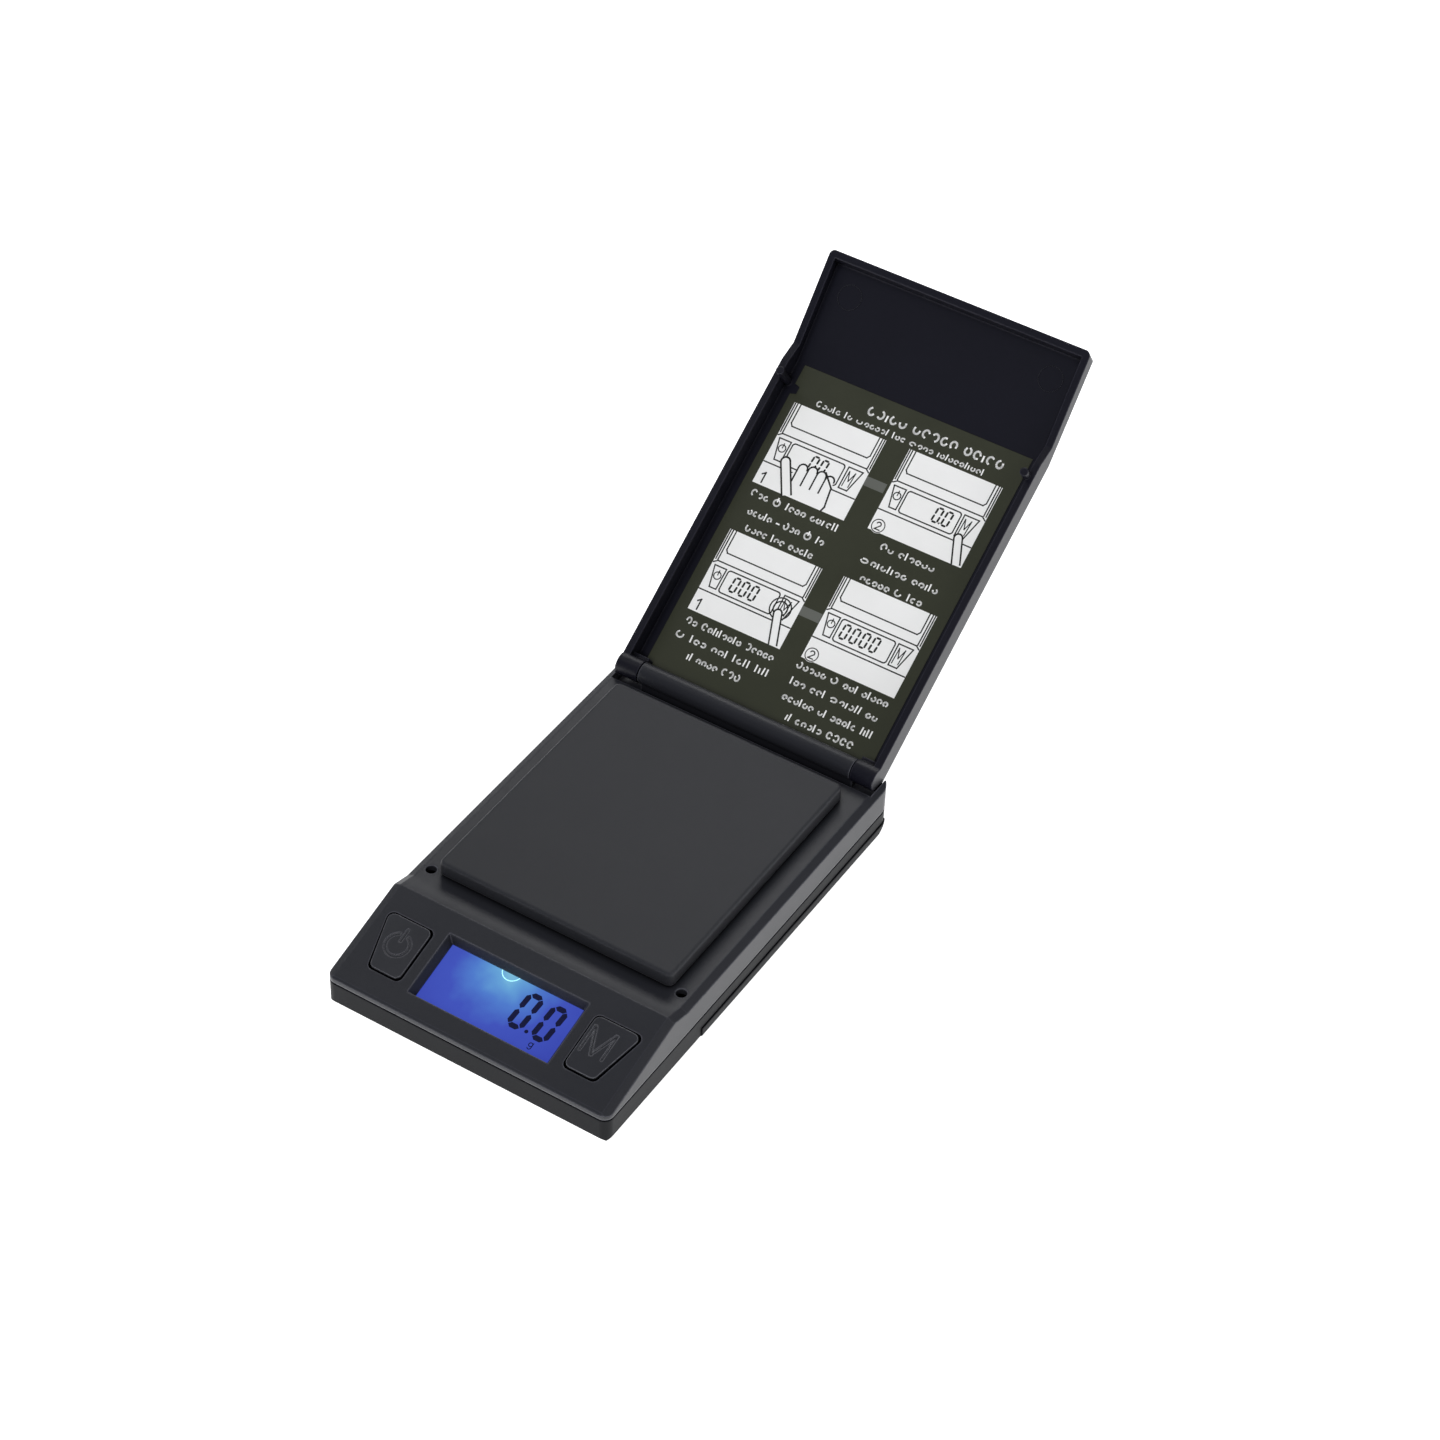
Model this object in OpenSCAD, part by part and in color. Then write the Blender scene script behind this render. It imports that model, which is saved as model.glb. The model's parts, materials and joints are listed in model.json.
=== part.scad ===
// Pocket gram scale with a flip lid, in millimetres.
// It stands on its feet at z = 0 with the control panel towards -Y, and the lid is drawn open.
// Every module is built with the front face of the base at y = 0 and then moved to the row's origin.

/* [Base] */
// Width of the base
base_w = 80; // [80:1:100]
// Length of the base
base_l = 127; // [122:1:156]
// Height of the seam between the two shells
seam_z = 8.2; // [7.6:0.1:9]
// Height of the deck around the platform
deck_z = 16.2; // [16.2:0.1:20]
// Least room between the battery bays and the deck
deck_room = 0.2; // [0.1:0.1:1]
// Wall thickness of the shells
wall = 1.8; // [1.5:0.1:2.2]
// Corner radius at the front, seen from above
front_r = 2.5; // [1:0.5:4]
// Corner radius at the rear, seen from above
rear_r = 5; // [3:0.5:6]
// Rounding of the side ears' top at the rear, seen from the side
ear_round = 3; // [1:0.5:4]
// Width of the bevel along the deck's sides
bevel_w = 2; // [1:0.1:2.5]
// Drop of that bevel
bevel_h = 1; // [0.5:0.1:1.5]
// Depth of the shadow line along the seam
seam_groove = 0.4; // [0.2:0.1:0.6]
// How far the feet lift the shells off the ground
foot_h = 0.5; // [0.3:0.1:1]
// Radius of a rubber foot
foot_r = 4; // [3:0.5:5]

/* [Control panel] */
// Height of the panel's front edge
panel_z = 10; // [9.6:0.1:10.5]
// Distance from the front face to the ridge behind the panel
ridge_y = 27.7; // [27:0.1:30]
// Height of the ridge above the deck
ridge_h = 1.5; // [1:0.1:2]
// Length of the slope from the ridge down to the deck
step_l = 5.5; // [4:0.5:7]
// Width of the visible part of the display
view_w = 37.4; // [34:0.1:38]
// Height of the visible part of the display
view_h = 15.8; // [14:0.1:16]
// Distance up the panel from its front edge to the display
view_s = 5.6; // [5:0.1:6]
// Depth of the display under the panel's surface
view_depth = 2.4; // [2:0.1:2.6]
// Thickness of the display glass
glass_t = 2; // [1.6:0.1:2.2]
// Thickness of the backlight
light_t = 2.4; // [2:0.1:2.6]
// Width of the backlight and display frame's rim
frame_rim = 1.4; // [1:0.1:1.6]
// Thickness of the circuit board
board_t = 1.2; // [1:0.1:1.6]
// Least distance up the panel to the circuit board
board_front = 2.4; // [2.4:0.1:3.4]
// Least room between the circuit board and the floor
board_room = 0.2; // [0.1:0.1:0.3]
// Half width of the circuit board
board_half = 32; // [31:0.5:33]
// Distance from the display's middle to a key's inner edge
key_in = 23.4; // [23:0.1:24]
// Width of a key's front edge
key_front_w = 8.4; // [7:0.1:9]
// Width of a key's rear edge
key_back_w = 12.5; // [11:0.1:12.8]
// Distance up the panel to a key's front edge
key_s = 6.1; // [5.8:0.1:7]
// Length of a key up the panel
key_l = 14.7; // [13:0.1:15]
// Gap around a key
key_gap = 0.45; // [0.25:0.05:0.45]
// Corner radius of a key
key_r = 1.6; // [1:0.1:2]
// How far a key stands out of the panel
key_rise = 0.5; // [0.1:0.1:0.9]
// How far a key's flange reaches under the panel
key_flange = 0.75; // [0.7:0.05:0.75]
// How far a key goes down
key_travel = 0.8; // [0.5:0.1:0.9]
// Depth of the keys' engraved signs
engrave = 0.3; // [0.1:0.05:0.5]
// Outer radius of the power sign's ring
ring_r = 3.4; // [2.5:0.1:3.8]
// Width of the ring's line
ring_line = 0.75; // [0.4:0.05:1]
// Width of the mode letter
letter_w = 6.7; // [4:0.1:7]
// Height of the mode letter
letter_h = 7.4; // [4:0.1:8]
// Width of the letter's strokes
letter_line = 0.6; // [0.3:0.05:0.8]
// Radius of the deck holes for the lid's pegs
peg_hole_r = 1.4; // [1.2:0.1:1.6]

/* [Platform] */
// Deck left free on each side of the platform
deck_side = 6.75; // [5:0.05:8]
// Deck left free in front of the platform
deck_front = 3.2; // [3:0.1:5]
// Distance from the platform to the hinge axis
deck_rear = 8.6; // [7:0.1:10]
// Height of the platform's top above the deck
plat_h = 4.7; // [4:0.1:5]
// Gap between the platform's skirt and the deck
plat_gap = 0.8; // [0.6:0.1:1]
// Thickness of the platform's top and skirt
plat_t = 1.6; // [1.2:0.1:2]
// Corner radius of the platform, seen from above
plat_r = 1.6; // [1:0.1:3]
// Rounding of the platform's top edge
plat_edge = 0.8; // [0.4:0.1:1]

/* [Load cell] */
// Length of the bending beam
beam_l = 60; // [50:1:64]
// Width of the bending beam
beam_w = 12; // [10:1:14]
// Thickness of the bending beam
beam_t = 6; // [5:0.5:6.2]
// Clearance under the beam
beam_clear = 3; // [2.5:0.1:3.1]
// Radius of the beam's screws
beam_screw_r = 1.5; // [1.25:0.25:1.75]
// Length of beam that each end clamps
beam_clamp = 12; // [11:0.5:14]
// How far the beam lets the platform down
press_travel = 0.4; // [0.2:0.1:0.5]
// Room left under the platform's carrier when it is pressed right down
carrier_room = 0.1; // [0.1:0.05:0.3]

/* [Batteries] */
// Radius of a cell
cell_r = 5.25; // [5:0.05:5.3]
// Length of a cell without its button
cell_l = 43.3; // [42:0.1:44]
// Clearance around a cell
cell_gap = 0.35; // [0.2:0.05:0.5]
// Room for the spring at a cell's flat end
spring_room = 4.5; // [4:0.1:5.5]
// Distance from a bay's axis to the side of the base
bay_side = 12; // [11.8:0.1:13]
// Distance from the front face to the bays
bay_y = 56; // [54:0.5:58]
// Wall of a battery bay
bay_wall = 1; // [0.8:0.1:1.2]
// Thickness of the battery door
door_t = 1.2; // [1:0.1:1.4]
// Height to which the door wraps up the sides
door_top = 4.1; // [3.8:0.1:4.4]
// Distance from the front face to the door's front edge
door_y = 39.7; // [38:0.1:41]
// How far the door stands proud of the sides
door_proud = 0.3; // [0:0.1:0.4]
// Clearance around the door
door_gap = 0.2; // [0.15:0.05:0.3]

/* [Lid] */
// Angle from closed to the drawn open position
lid_open = 146.6; // [90:0.1:150]
// Thickness of the lid's plate
lid_t = 2; // [1.5:0.1:2.5]
// Thickness of the lid's side walls
lid_wall = 1.9; // [1.5:0.1:2.2]
// Gap between the closed lid and the base
lid_gap = 0.12; // [0.1:0.01:0.3]
// Room between the platform and the closed lid
lid_room = 0.6; // [0.5:0.1:1]
// Slope of the lid's front part when closed
lid_slope = 14.5; // [13:0.1:16]
// Distance from the hinge axis to the bend of the lid
lid_bend_back = 4; // [2:0.1:6]
// Distance from the base's front face to the lid's front face
lid_front = 2.8; // [2:0.1:4]
// Thickness of the instruction sticker
label_t = 0.15; // [0.1:0.05:0.2]
// Width of the plate left free beside the sticker
label_side = 2.5; // [2:0.1:3]
// Distance from the hinge axis to the rear of the base
hinge_back = 4.7; // [4.5:0.1:5.5]
// Height of the hinge axis above the deck
hinge_up = 2; // [1.8:0.1:2.2]
// Radius of the base's hinge barrel
barrel_r = 2.8; // [2.8:0.1:3.1]
// Gap between the deck's end and the barrel
trough_gap = 1.3; // [1:0.1:1.6]
// Depth of the hinge's trough under the deck
trough_d = 3.9; // [3.7:0.1:4.2]
// Clearance of the trough beside the lid's knuckles
trough_side = 0.4; // [0.3:0.1:0.6]
// Thickness of the web under the barrel
web_t = 2; // [1.6:0.1:2.2]
// Radius of the lid's knuckles
knuckle_r = 3; // [3:0.1:3.3]
// Length of a knuckle
knuckle_l = 6.4; // [5:0.1:8]
// Gap between a knuckle and the barrel
knuckle_gap = 0.3; // [0.2:0.1:0.5]
// Radius of a hinge pin
pin_r = 1; // [0.8:0.1:1.2]
// Radial clearance of a pin in the lid's knuckle
pin_clear = 0.05; // [0.02:0.01:0.1]
// Length of a hinge pin
pin_l = 13; // [11:0.5:16]
// How far the lid's pegs enter the deck
peg_in = 2.5; // [1.8:0.1:3]
// Rounding of the lid's long outer edges
lid_edge = 1.8; // [0.5:0.1:1.8]
// Corner radius of the lid's front, seen from above
lid_corner = 1.5; // [0.5:0.5:2.5]

/* [Hidden] */
$fn = 48;
e = 0.01;
big = 400;

base_half = base_w / 2;
floor_z = foot_h + wall;
door_floor_z = foot_h + door_t + door_gap;
door_floor_t = 1.5;
beam_z = door_floor_z + door_floor_t + beam_clear;
bay_x = base_half - bay_side;
bay_half = cell_r + cell_gap;
bay_l = spring_room + cell_l + 2.7;
cell_z = door_floor_z - door_gap + cell_r + 0.65;
bay_roof_z = cell_z + cell_r + cell_gap;
deck_t = wall;
deck_top = max(deck_z, bay_roof_z + bay_wall + deck_room + deck_t);
ridge_z = deck_top + ridge_h;
panel_y = 0.6;
panel_slope = atan2(ridge_z - panel_z, ridge_y - panel_y);
step_y = ridge_y + step_l;

hinge_y = base_l - hinge_back;
trough_y = hinge_y - barrel_r - trough_gap;
trough_z = deck_top - trough_d;
hinge_z = deck_top + hinge_up;
knuckle_out = base_half - bevel_w;
knuckle_in = knuckle_out - knuckle_l;
barrel_half = knuckle_in - knuckle_gap;

plat_half = base_half - deck_side;
plat_y0 = step_y + deck_front;
plat_y1 = hinge_y - deck_rear;
plat_mid = (plat_y0 + plat_y1) / 2;
plat_top = deck_top + plat_h;

lid_half = base_half - bevel_w;
lid_in_z = plat_top + lid_room;
lid_top_z = lid_in_z + lid_t;
lid_bend_y = plat_y0 - lid_bend_back - 1.2;
lid_front_z = lid_in_z - (lid_bend_y - lid_front) * tan(lid_slope);
label_y1 = hinge_y - 2.7;
label_y0 = lid_bend_y;
label_half = lid_half - lid_wall - label_side;
peg_x = lid_half - 2.2;
peg_y = step_y + 3.8;

// Where the open lid's front edge ends up, which sets the row's origin midway along Y
function lid_slope_drop() = (lid_bend_y - lid_front) * tan(lid_slope);
function lid_y(y, z) = hinge_y + (y - hinge_y) * cos(lid_open) + (z - hinge_z) * sin(lid_open);
tip_y = lid_y(lid_front, lid_in_z - lid_slope_drop() + lid_t / cos(lid_slope));
origin_y = tip_y / 2;

carrier_half = min(24, plat_half - 8);
carrier_z = bay_roof_z + bay_wall + press_travel + carrier_room;
carrier_top = carrier_z + 1.8;
carrier_y0 = plat_y0 + 7.1;
carrier_y1 = plat_y1 - 7.2;
beam_y0 = plat_mid - beam_l / 2;
beam_y1 = plat_mid + beam_l / 2;
clamp_pitch = 6;

case_screw_r = 1.1;
boss_r = 2.8;
boss_front = [base_half - 6.2, step_y - 1.2];
boss_rear = [base_half - 7, hinge_y - 10];

view_half = view_w / 2;
frame_z = -view_depth - 0.2;
glass_half = view_half + 2.3;
glass_s0 = view_s - 2;
glass_s1 = view_s + view_h + 2;
board_z = frame_z - glass_t - light_t - 0.2;
board_low = board_z - board_t;
board_s0 = max(board_front,
               (floor_z + board_room - panel_z - board_low * cos(panel_slope)) / sin(panel_slope));
board_s1 = 26.2;
board_end = [panel_y + board_s1 * cos(panel_slope) - board_low * sin(panel_slope),
             panel_z + board_s1 * sin(panel_slope) + board_low * cos(panel_slope)];
board_screw = [28.5, 24];
key_mid_s = key_s + key_l / 2;
switch_x = key_in + (key_front_w + key_back_w) / 4;
door_half = base_half + door_proud;

charcoal = [0.27, 0.27, 0.285];
lid_black = [0.13, 0.13, 0.16];
steel = [0.72, 0.73, 0.75];

// The row's frame: feet on z = 0, x = 0 down the middle, y = 0 midway along the open scale
module in_frame() {
    translate([0, -origin_y, 0]) children();
}

// The control panel's frame: y runs up the panel and z stands out of it
module on_panel() {
    translate([0, panel_y, panel_z]) rotate([panel_slope, 0, 0]) children();
}

// Turns the lid from closed to its drawn position
module opened() {
    translate([0, hinge_y, hinge_z]) rotate([-lid_open, 0, 0]) translate([0, -hinge_y, -hinge_z]) children();
}

// A block between two corners
module block(low, high) {
    translate(low) cube(high - low);
}

// A polygon of [y, z] points, extruded across the width from -half to half
module across(half, points) {
    rotate([90, 0, 90]) translate([0, 0, -half]) linear_extrude(2 * half) polygon(points);
}

module mirrored() {
    children();
    mirror([1, 0, 0]) children();
}

module rod_x(y, z, r, x0, x1) {
    translate([x0, y, z]) rotate([0, 90, 0]) cylinder(h = x1 - x0, r = r);
}

// A wire swept along a route that is nowhere upright
module wire(route, r) {
    sides = 10;
    last = len(route) - 1;
    rings = [for (i = [0 : last])
        let (along = unit(route[min(i + 1, last)] - route[max(i - 1, 0)]),
             side = unit(cross(along, [0, 0, 1])), up = cross(side, along))
        for (k = [0 : sides - 1]) route[i] + r * (cos(360 * k / sides) * side + sin(360 * k / sides) * up)];
    walls = [for (i = [0 : last - 1], k = [0 : sides - 1])
        let (a = i * sides + k, b = i * sides + (k + 1) % sides)
        each [[a, a + sides, b], [b, a + sides, b + sides]]];
    ends = [[for (k = [0 : sides - 1]) k], [for (k = [sides - 1 : -1 : 0]) last * sides + k]];
    polyhedron(points = rings, faces = concat(walls, ends));
}

// Corner points of a convex outline, each corner turned into an arc of radius r
function unit(v) = v / norm(v);
function rounded(pts, r, n = 5) = [
    for (i = [0 : len(pts) - 1])
        let (p = pts[i], a = unit(pts[(i + len(pts) - 1) % len(pts)] - p),
             b = unit(pts[(i + 1) % len(pts)] - p),
             half = acos(a * b) / 2, centre = p + unit(a + b) * r / sin(half),
             from = p + a * r / tan(half) - centre, to = p + b * r / tan(half) - centre,
             t0 = atan2(from.y, from.x), turn = ((atan2(to.y, to.x) - t0 + 540) % 360) - 180)
        for (k = [0 : n]) centre + r * [cos(t0 + turn * k / n), sin(t0 + turn * k / n)]
];

// The base's plan, inset by i, as a solid from z0 to z1
module plan(i, z0, z1) {
    w = base_half - i;
    f = max(front_r - i, 0.4);
    r = max(rear_r - i, 0.4);
    y1 = base_l - i;
    translate([0, 0, z0]) {
        linear_extrude(z1 - z0) polygon([
            [-w + f, i], [w - f, i], [w, i + f], [w, y1 - r],
            [w - r, y1], [-w + r, y1], [-w, y1 - r], [-w, i + f]]);
        for (s = [-1, 1]) {
            translate([s * (w - f), i + f, 0]) cylinder(h = z1 - z0, r = f);
            translate([s * (w - r), y1 - r, 0]) cylinder(h = z1 - z0, r = r);
        }
    }
}

// Bevels along both sides of a surface whose frame has z = 0 on it, from y0 to y1
module side_bevels(y0, y1) {
    mirrored() rotate([90, 0, 0]) translate([0, 0, -y1]) linear_extrude(y1 - y0) polygon([
        [base_half - bevel_w, 0], [base_half + e, -bevel_h - e], [base_half + 3, -bevel_h],
        [base_half + 3, 4], [base_half - bevel_w, 4]]);
}

// Top line of the base from front to rear, lifted by up
function base_top(up) = [
    [0, panel_z - 0.6 + up], [panel_y, panel_z + up], [ridge_y, ridge_z + up],
    [step_y, deck_top + up]];

// A key's outline on the panel, grown by g
function key_outline(g) = [
    [key_in - g, key_s - g], [key_in + key_front_w + g, key_s - g],
    [key_in + key_back_w + g * 1.1, key_s + key_l + g], [key_in - g, key_s + key_l + g]];

module key_prism(g, z0, z1) {
    translate([0, 0, z0]) linear_extrude(z1 - z0) polygon(rounded(key_outline(g), key_r));
}

// The display's recess: its four walls slope in as they go down
module display_recess() {
    top_half = view_half + 1.3;
    s0 = view_s - 0.8;
    s1 = view_s + view_h + 1.3;
    intersection() {
        rotate([90, 0, 0]) translate([0, 0, -s1 - 1]) linear_extrude(s1 - s0 + 2) polygon([
            [-view_half, -view_depth - 1], [view_half, -view_depth - 1], [view_half, -view_depth],
            [top_half + 1.3 / view_depth, 1], [-top_half - 1.3 / view_depth, 1], [-view_half, -view_depth]]);
        across(top_half + 2, [
            [view_s, -view_depth - 1], [view_s + view_h, -view_depth - 1], [view_s + view_h, -view_depth],
            [s1 + 1.3 / view_depth, 1], [s0 - 0.8 / view_depth, 1], [view_s, -view_depth]]);
    }
}

module screw(head_r, head_h, shank_r, length) {
    difference() {
        cylinder(h = head_h, r = head_r);
        for (a = [0, 90]) rotate(a) block([-head_r * 0.55, -0.3, -e], [head_r * 0.55, 0.3, head_h * 0.55]);
    }
    translate([0, 0, head_h - e]) cylinder(h = length, r = shank_r);
}

module upper_outside() {
    difference() {
        intersection() {
            plan(0, seam_z, ridge_z + 1);
            across(base_half + 1, concat(
                [[0, seam_z]], base_top(0),
                [[base_l - ear_round, deck_top], [base_l - ear_round / 2, deck_top - ear_round * 0.134],
                 [base_l - ear_round * 0.134, deck_top - ear_round / 2], [base_l, deck_top - ear_round],
                 [base_l, seam_z]]));
        }
        on_panel() side_bevels(-4, norm([ridge_y - panel_y, ridge_z - panel_z]) + 0.3);
        // The slope's bevels run on past its foot and are trimmed where the deck's begin
        intersection() {
            translate([0, ridge_y, ridge_z]) rotate([-atan2(ridge_h, step_l), 0, 0])
                side_bevels(-0.3, norm([step_l, ridge_h]) + bevel_h);
            block([-base_half - 2, 0, 0], [base_half + 2, step_y, big]);
        }
        translate([0, 0, deck_top]) side_bevels(step_y, base_l + 1);
        // Trough behind the deck for the hinge, between the two side ears
        block([-knuckle_out - trough_side, trough_y, trough_z], [knuckle_out + trough_side, base_l + 1, big]);
    }
}

module upper_shell() {
    color(charcoal) in_frame() difference() {
        union() {
            difference() {
                upper_outside();
                intersection() {
                    plan(wall, seam_z - 1, ridge_z);
                    across(base_half, [
                        [0, seam_z - e], [0, panel_z - wall * 1.1], [ridge_y, ridge_z - wall * 1.04],
                        [step_y, deck_top - deck_t], [trough_y - deck_t, deck_top - deck_t],
                        [trough_y - deck_t, trough_z - deck_t], [base_l, trough_z - deck_t],
                        [base_l, seam_z - e]]);
                }
            }
            // Barrel and the web that carries it over the trough's floor
            rod_x(hinge_y, hinge_z, barrel_r, -barrel_half, barrel_half);
            block([-barrel_half, hinge_y - web_t / 2, trough_z - e],
                  [barrel_half, hinge_y + web_t / 2, hinge_z]);
            // Bosses for the case screws
            for (p = [boss_front, boss_rear]) mirrored()
                translate([p.x, p.y, seam_z]) cylinder(h = deck_top - deck_t - seam_z + 0.4, r = boss_r);
            // Rim that the display seats against and posts for the board
            on_panel() {
                block([-glass_half - 1, glass_s0 - 0.6, frame_z],
                      [glass_half + 1, glass_s1 + 0.6, -wall + 0.3]);
                mirrored() translate([board_screw.x, board_screw.y, board_z])
                    cylinder(h = -board_z - wall + 0.3, r = 1.8);
            }
        }
        // Opening for the carrier under the platform
        block([-carrier_half - 1.5, carrier_y0 - 1.5, seam_z],
              [carrier_half + 1.5, carrier_y1 + 1.5, deck_top + 1]);
        on_panel() {
            display_recess();
            mirrored() key_prism(key_gap, -wall - 1, 1);
            mirrored() translate([board_screw.x, board_screw.y, board_z - e]) cylinder(h = 4, r = 0.8);
        }
        mirrored() translate([peg_x, peg_y, deck_top - 3]) cylinder(h = 4, r = peg_hole_r);
        for (p = [boss_front, boss_rear]) mirrored()
            translate([p.x, p.y, seam_z - e]) cylinder(h = 5, r = case_screw_r);
        mirrored() rod_x(hinge_y, hinge_z, pin_r, barrel_half - pin_l + knuckle_l - 0.6, barrel_half + 1);
    }
}

// Underside profile shared by the lower shell and the door, from z = foot_h to the seam
function belly(front_y) = [
    [front_y, foot_h + 1.2], [front_y + 1.2, foot_h], [base_l - 8, foot_h],
    [base_l - 2, door_top + 0.2], [base_l, seam_z], [base_l, seam_z + 2], [front_y, seam_z + 2]];

module belly_block(i, z1) {
    intersection() {
        plan(i, foot_h, z1);
        across(base_half + 1, belly(i));
        rotate([90, 0, 0]) translate([0, 0, -base_l - 1]) linear_extrude(base_l + 2) polygon([
            [-base_half + i, foot_h + 1.2], [-base_half + i + 1.2, foot_h], [base_half - i - 1.2, foot_h],
            [base_half - i, foot_h + 1.2], [base_half - i, z1], [-base_half + i, z1]]);
    }
}

module lower_shell() {
    skirt = base_half - door_t - 2 * door_gap - 0.2;
    color(charcoal) in_frame() difference() {
        union() {
            difference() {
                belly_block(0, seam_z);
                // Shadow line under the seam
                difference() {
                    plan(-1, seam_z - 0.45, seam_z + 1);
                    plan(seam_groove, seam_z - 0.5, seam_z + 1);
                }
                // Inside, in front of the door and above it
                block([-base_half + wall, wall, floor_z], [base_half - wall, door_y - wall, seam_z + 1]);
                block([-skirt + 1.6, door_y - wall - e, door_floor_z + door_floor_t],
                      [skirt - 1.6, base_l - 10.2, seam_z + 1]);
                block([-base_half + wall, door_y - wall - e, door_top + 1.7],
                      [base_half - wall, base_l - wall - 1, seam_z + 1]);
                // Room for the door
                block([-big, door_y - door_gap, -1], [big, base_l - 8.4, door_floor_z]);
                across(big, [[base_l - 8.5, -1], [base_l - 8.5, door_floor_z],
                             [base_l - 5, door_top + door_gap], [base_l, door_top + door_gap], [base_l, -1]]);
                mirrored() block([skirt, door_y - door_gap, -1], [big, base_l, door_top + door_gap]);
                mirrored() block([skirt - 1, door_y + 4.8, 2.5], [skirt + 1, base_l, 3.5]);
            }
            // Battery bays, open downwards
            mirrored() block([bay_x - bay_half - bay_wall, bay_y - bay_wall, door_floor_z],
                             [bay_x + bay_half + bay_wall, bay_y + bay_l + bay_wall, bay_roof_z + bay_wall]);
            // Boss that clamps the beam and boss for the overload stop
            block([-beam_w / 2 - 1, beam_y1 - beam_clamp, door_floor_z], [beam_w / 2 + 1, beam_y1, beam_z]);
            translate([0, beam_y0 + beam_clamp / 2, door_floor_z]) cylinder(h = 3.4, r = 4);
            mirrored() translate([boss_front.x, boss_front.y, foot_h])
                cylinder(h = seam_z - foot_h, r = boss_r);
            mirrored() translate([boss_rear.x, boss_rear.y, door_floor_z])
                cylinder(h = seam_z - door_floor_z, r = boss_r);
        }
        mirrored() block([bay_x - bay_half, bay_y, -1], [bay_x + bay_half, bay_y + bay_l, bay_roof_z]);
        mirrored() for (y = [bay_y - 2, bay_y + bay_l - 1])
            translate([bay_x, y, cell_z]) rotate([-90, 0, 0]) cylinder(h = 3, r = 0.9);
        for (k = [0, 1]) translate([0, beam_y1 - 3 - k * clamp_pitch, 0]) {
            cylinder(h = 20, r = beam_screw_r + 0.1);
            cylinder(h = door_floor_z + 2, r = beam_screw_r + 1.3);
        }
        translate([0, beam_y0 + beam_clamp / 2, 0]) cylinder(h = 20, r = 2);
        mirrored() for (p = [[boss_front, foot_h + 2.4], [boss_rear, door_floor_z + 1.7]])
            translate([p[0].x, p[0].y, 0]) {
                cylinder(h = seam_z + 1, r = case_screw_r + 0.2);
                cylinder(h = p[1], r = 2.4);
            }
        mirrored() translate([base_half - 9, 9, -1]) cylinder(h = 1.5 + foot_h, r = foot_r + 0.1);
    }
}

module battery_door() {
    color(charcoal) in_frame() difference() {
        union() {
            difference() {
                intersection() {
                    belly_block(-door_proud, door_top);
                    block([-big, door_y, 0], [big, base_l + 1, door_top]);
                }
                across(door_half - door_t - door_proud + 0.1, [
                    [0, foot_h + door_t], [base_l - 8.3, foot_h + door_t], [base_l - 4.6, door_top + 0.1],
                    [0, door_top + 0.1]]);
            }
            // Rails that run in the lower shell's grooves
            mirrored() block([base_half - door_t - 1.2, door_y + 5.3, 2.7],
                             [base_half - door_t + 0.3, base_l - 15, 3.3]);
        }
        // Finger grip
        for (k = [0 : 4])
            block([-10, door_y + 6 + 2 * k, foot_h - 1], [10, door_y + 7 + 2 * k, foot_h + 0.4]);
        mirrored() translate([base_half - 9, base_l - 17, -1]) cylinder(h = 1.5 + foot_h, r = foot_r + 0.1);
    }
}

module foot_pair(y) {
    color([0.12, 0.12, 0.13]) in_frame() mirrored() translate([base_half - 9, y, 0]) {
        cylinder(h = 0.3, r1 = foot_r - 0.3, r2 = foot_r);
        translate([0, 0, 0.3 - e]) cylinder(h = foot_h + 0.2 + e, r = foot_r);
    }
}

module front_feet() {
    foot_pair(9);
}

module rear_feet() {
    foot_pair(base_l - 17);
}

module case_screws() {
    color(steel) in_frame() mirrored() {
        translate([boss_front.x, boss_front.y, foot_h + 0.9]) screw(2.2, 1.5, case_screw_r, 9);
        translate([boss_rear.x, boss_rear.y, door_floor_z + 0.2]) screw(2.2, 1.5, case_screw_r, 8);
    }
}

module lcd_glass() {
    color([0.25, 0.32, 0.75]) in_frame() on_panel() {
        block([-glass_half, glass_s0, frame_z - glass_t / 2], [glass_half, glass_s1, frame_z]);
        block([-glass_half, glass_s0, frame_z - glass_t],
              [glass_half, glass_s1 - 1.6, frame_z - glass_t / 2 + e]);
    }
}

module backlight() {
    color([0.9, 0.93, 0.95]) in_frame() on_panel() {
        block([-glass_half + 0.6, glass_s0 + 0.6, board_z + 0.2],
              [glass_half - 0.6, glass_s1 - 1.9, frame_z - glass_t]);
        mirrored() translate([glass_half - 3, view_s + view_h / 2, board_z]) cylinder(h = 0.3, r = 1);
    }
}

module zebra_strip() {
    color([0.85, 0.55, 0.6]) in_frame() on_panel()
        block([-glass_half + 2, glass_s1 - 1.4, board_z],
              [glass_half - 2, glass_s1 - 0.2, frame_z - glass_t / 2]);
}

module lcd_frame() {
    in_half = glass_half + 0.15;
    color([0.16, 0.16, 0.17]) in_frame() on_panel() difference() {
        block([-in_half - frame_rim, glass_s0 - 0.15 - frame_rim / 2, board_z],
              [in_half + frame_rim, glass_s1 + 0.15 + frame_rim, frame_z]);
        block([-in_half, glass_s0 - 0.15, board_z - 1], [in_half, glass_s1 + 0.15, frame_z + 1]);
    }
}

module main_board() {
    color([0.1, 0.36, 0.2]) in_frame() on_panel() difference() {
        block([-board_half, board_s0, board_z - board_t], [board_half, board_s1, board_z]);
        mirrored() translate([board_screw.x, board_screw.y, board_z - board_t - 1]) cylinder(h = 3, r = 0.95);
    }
}

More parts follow.
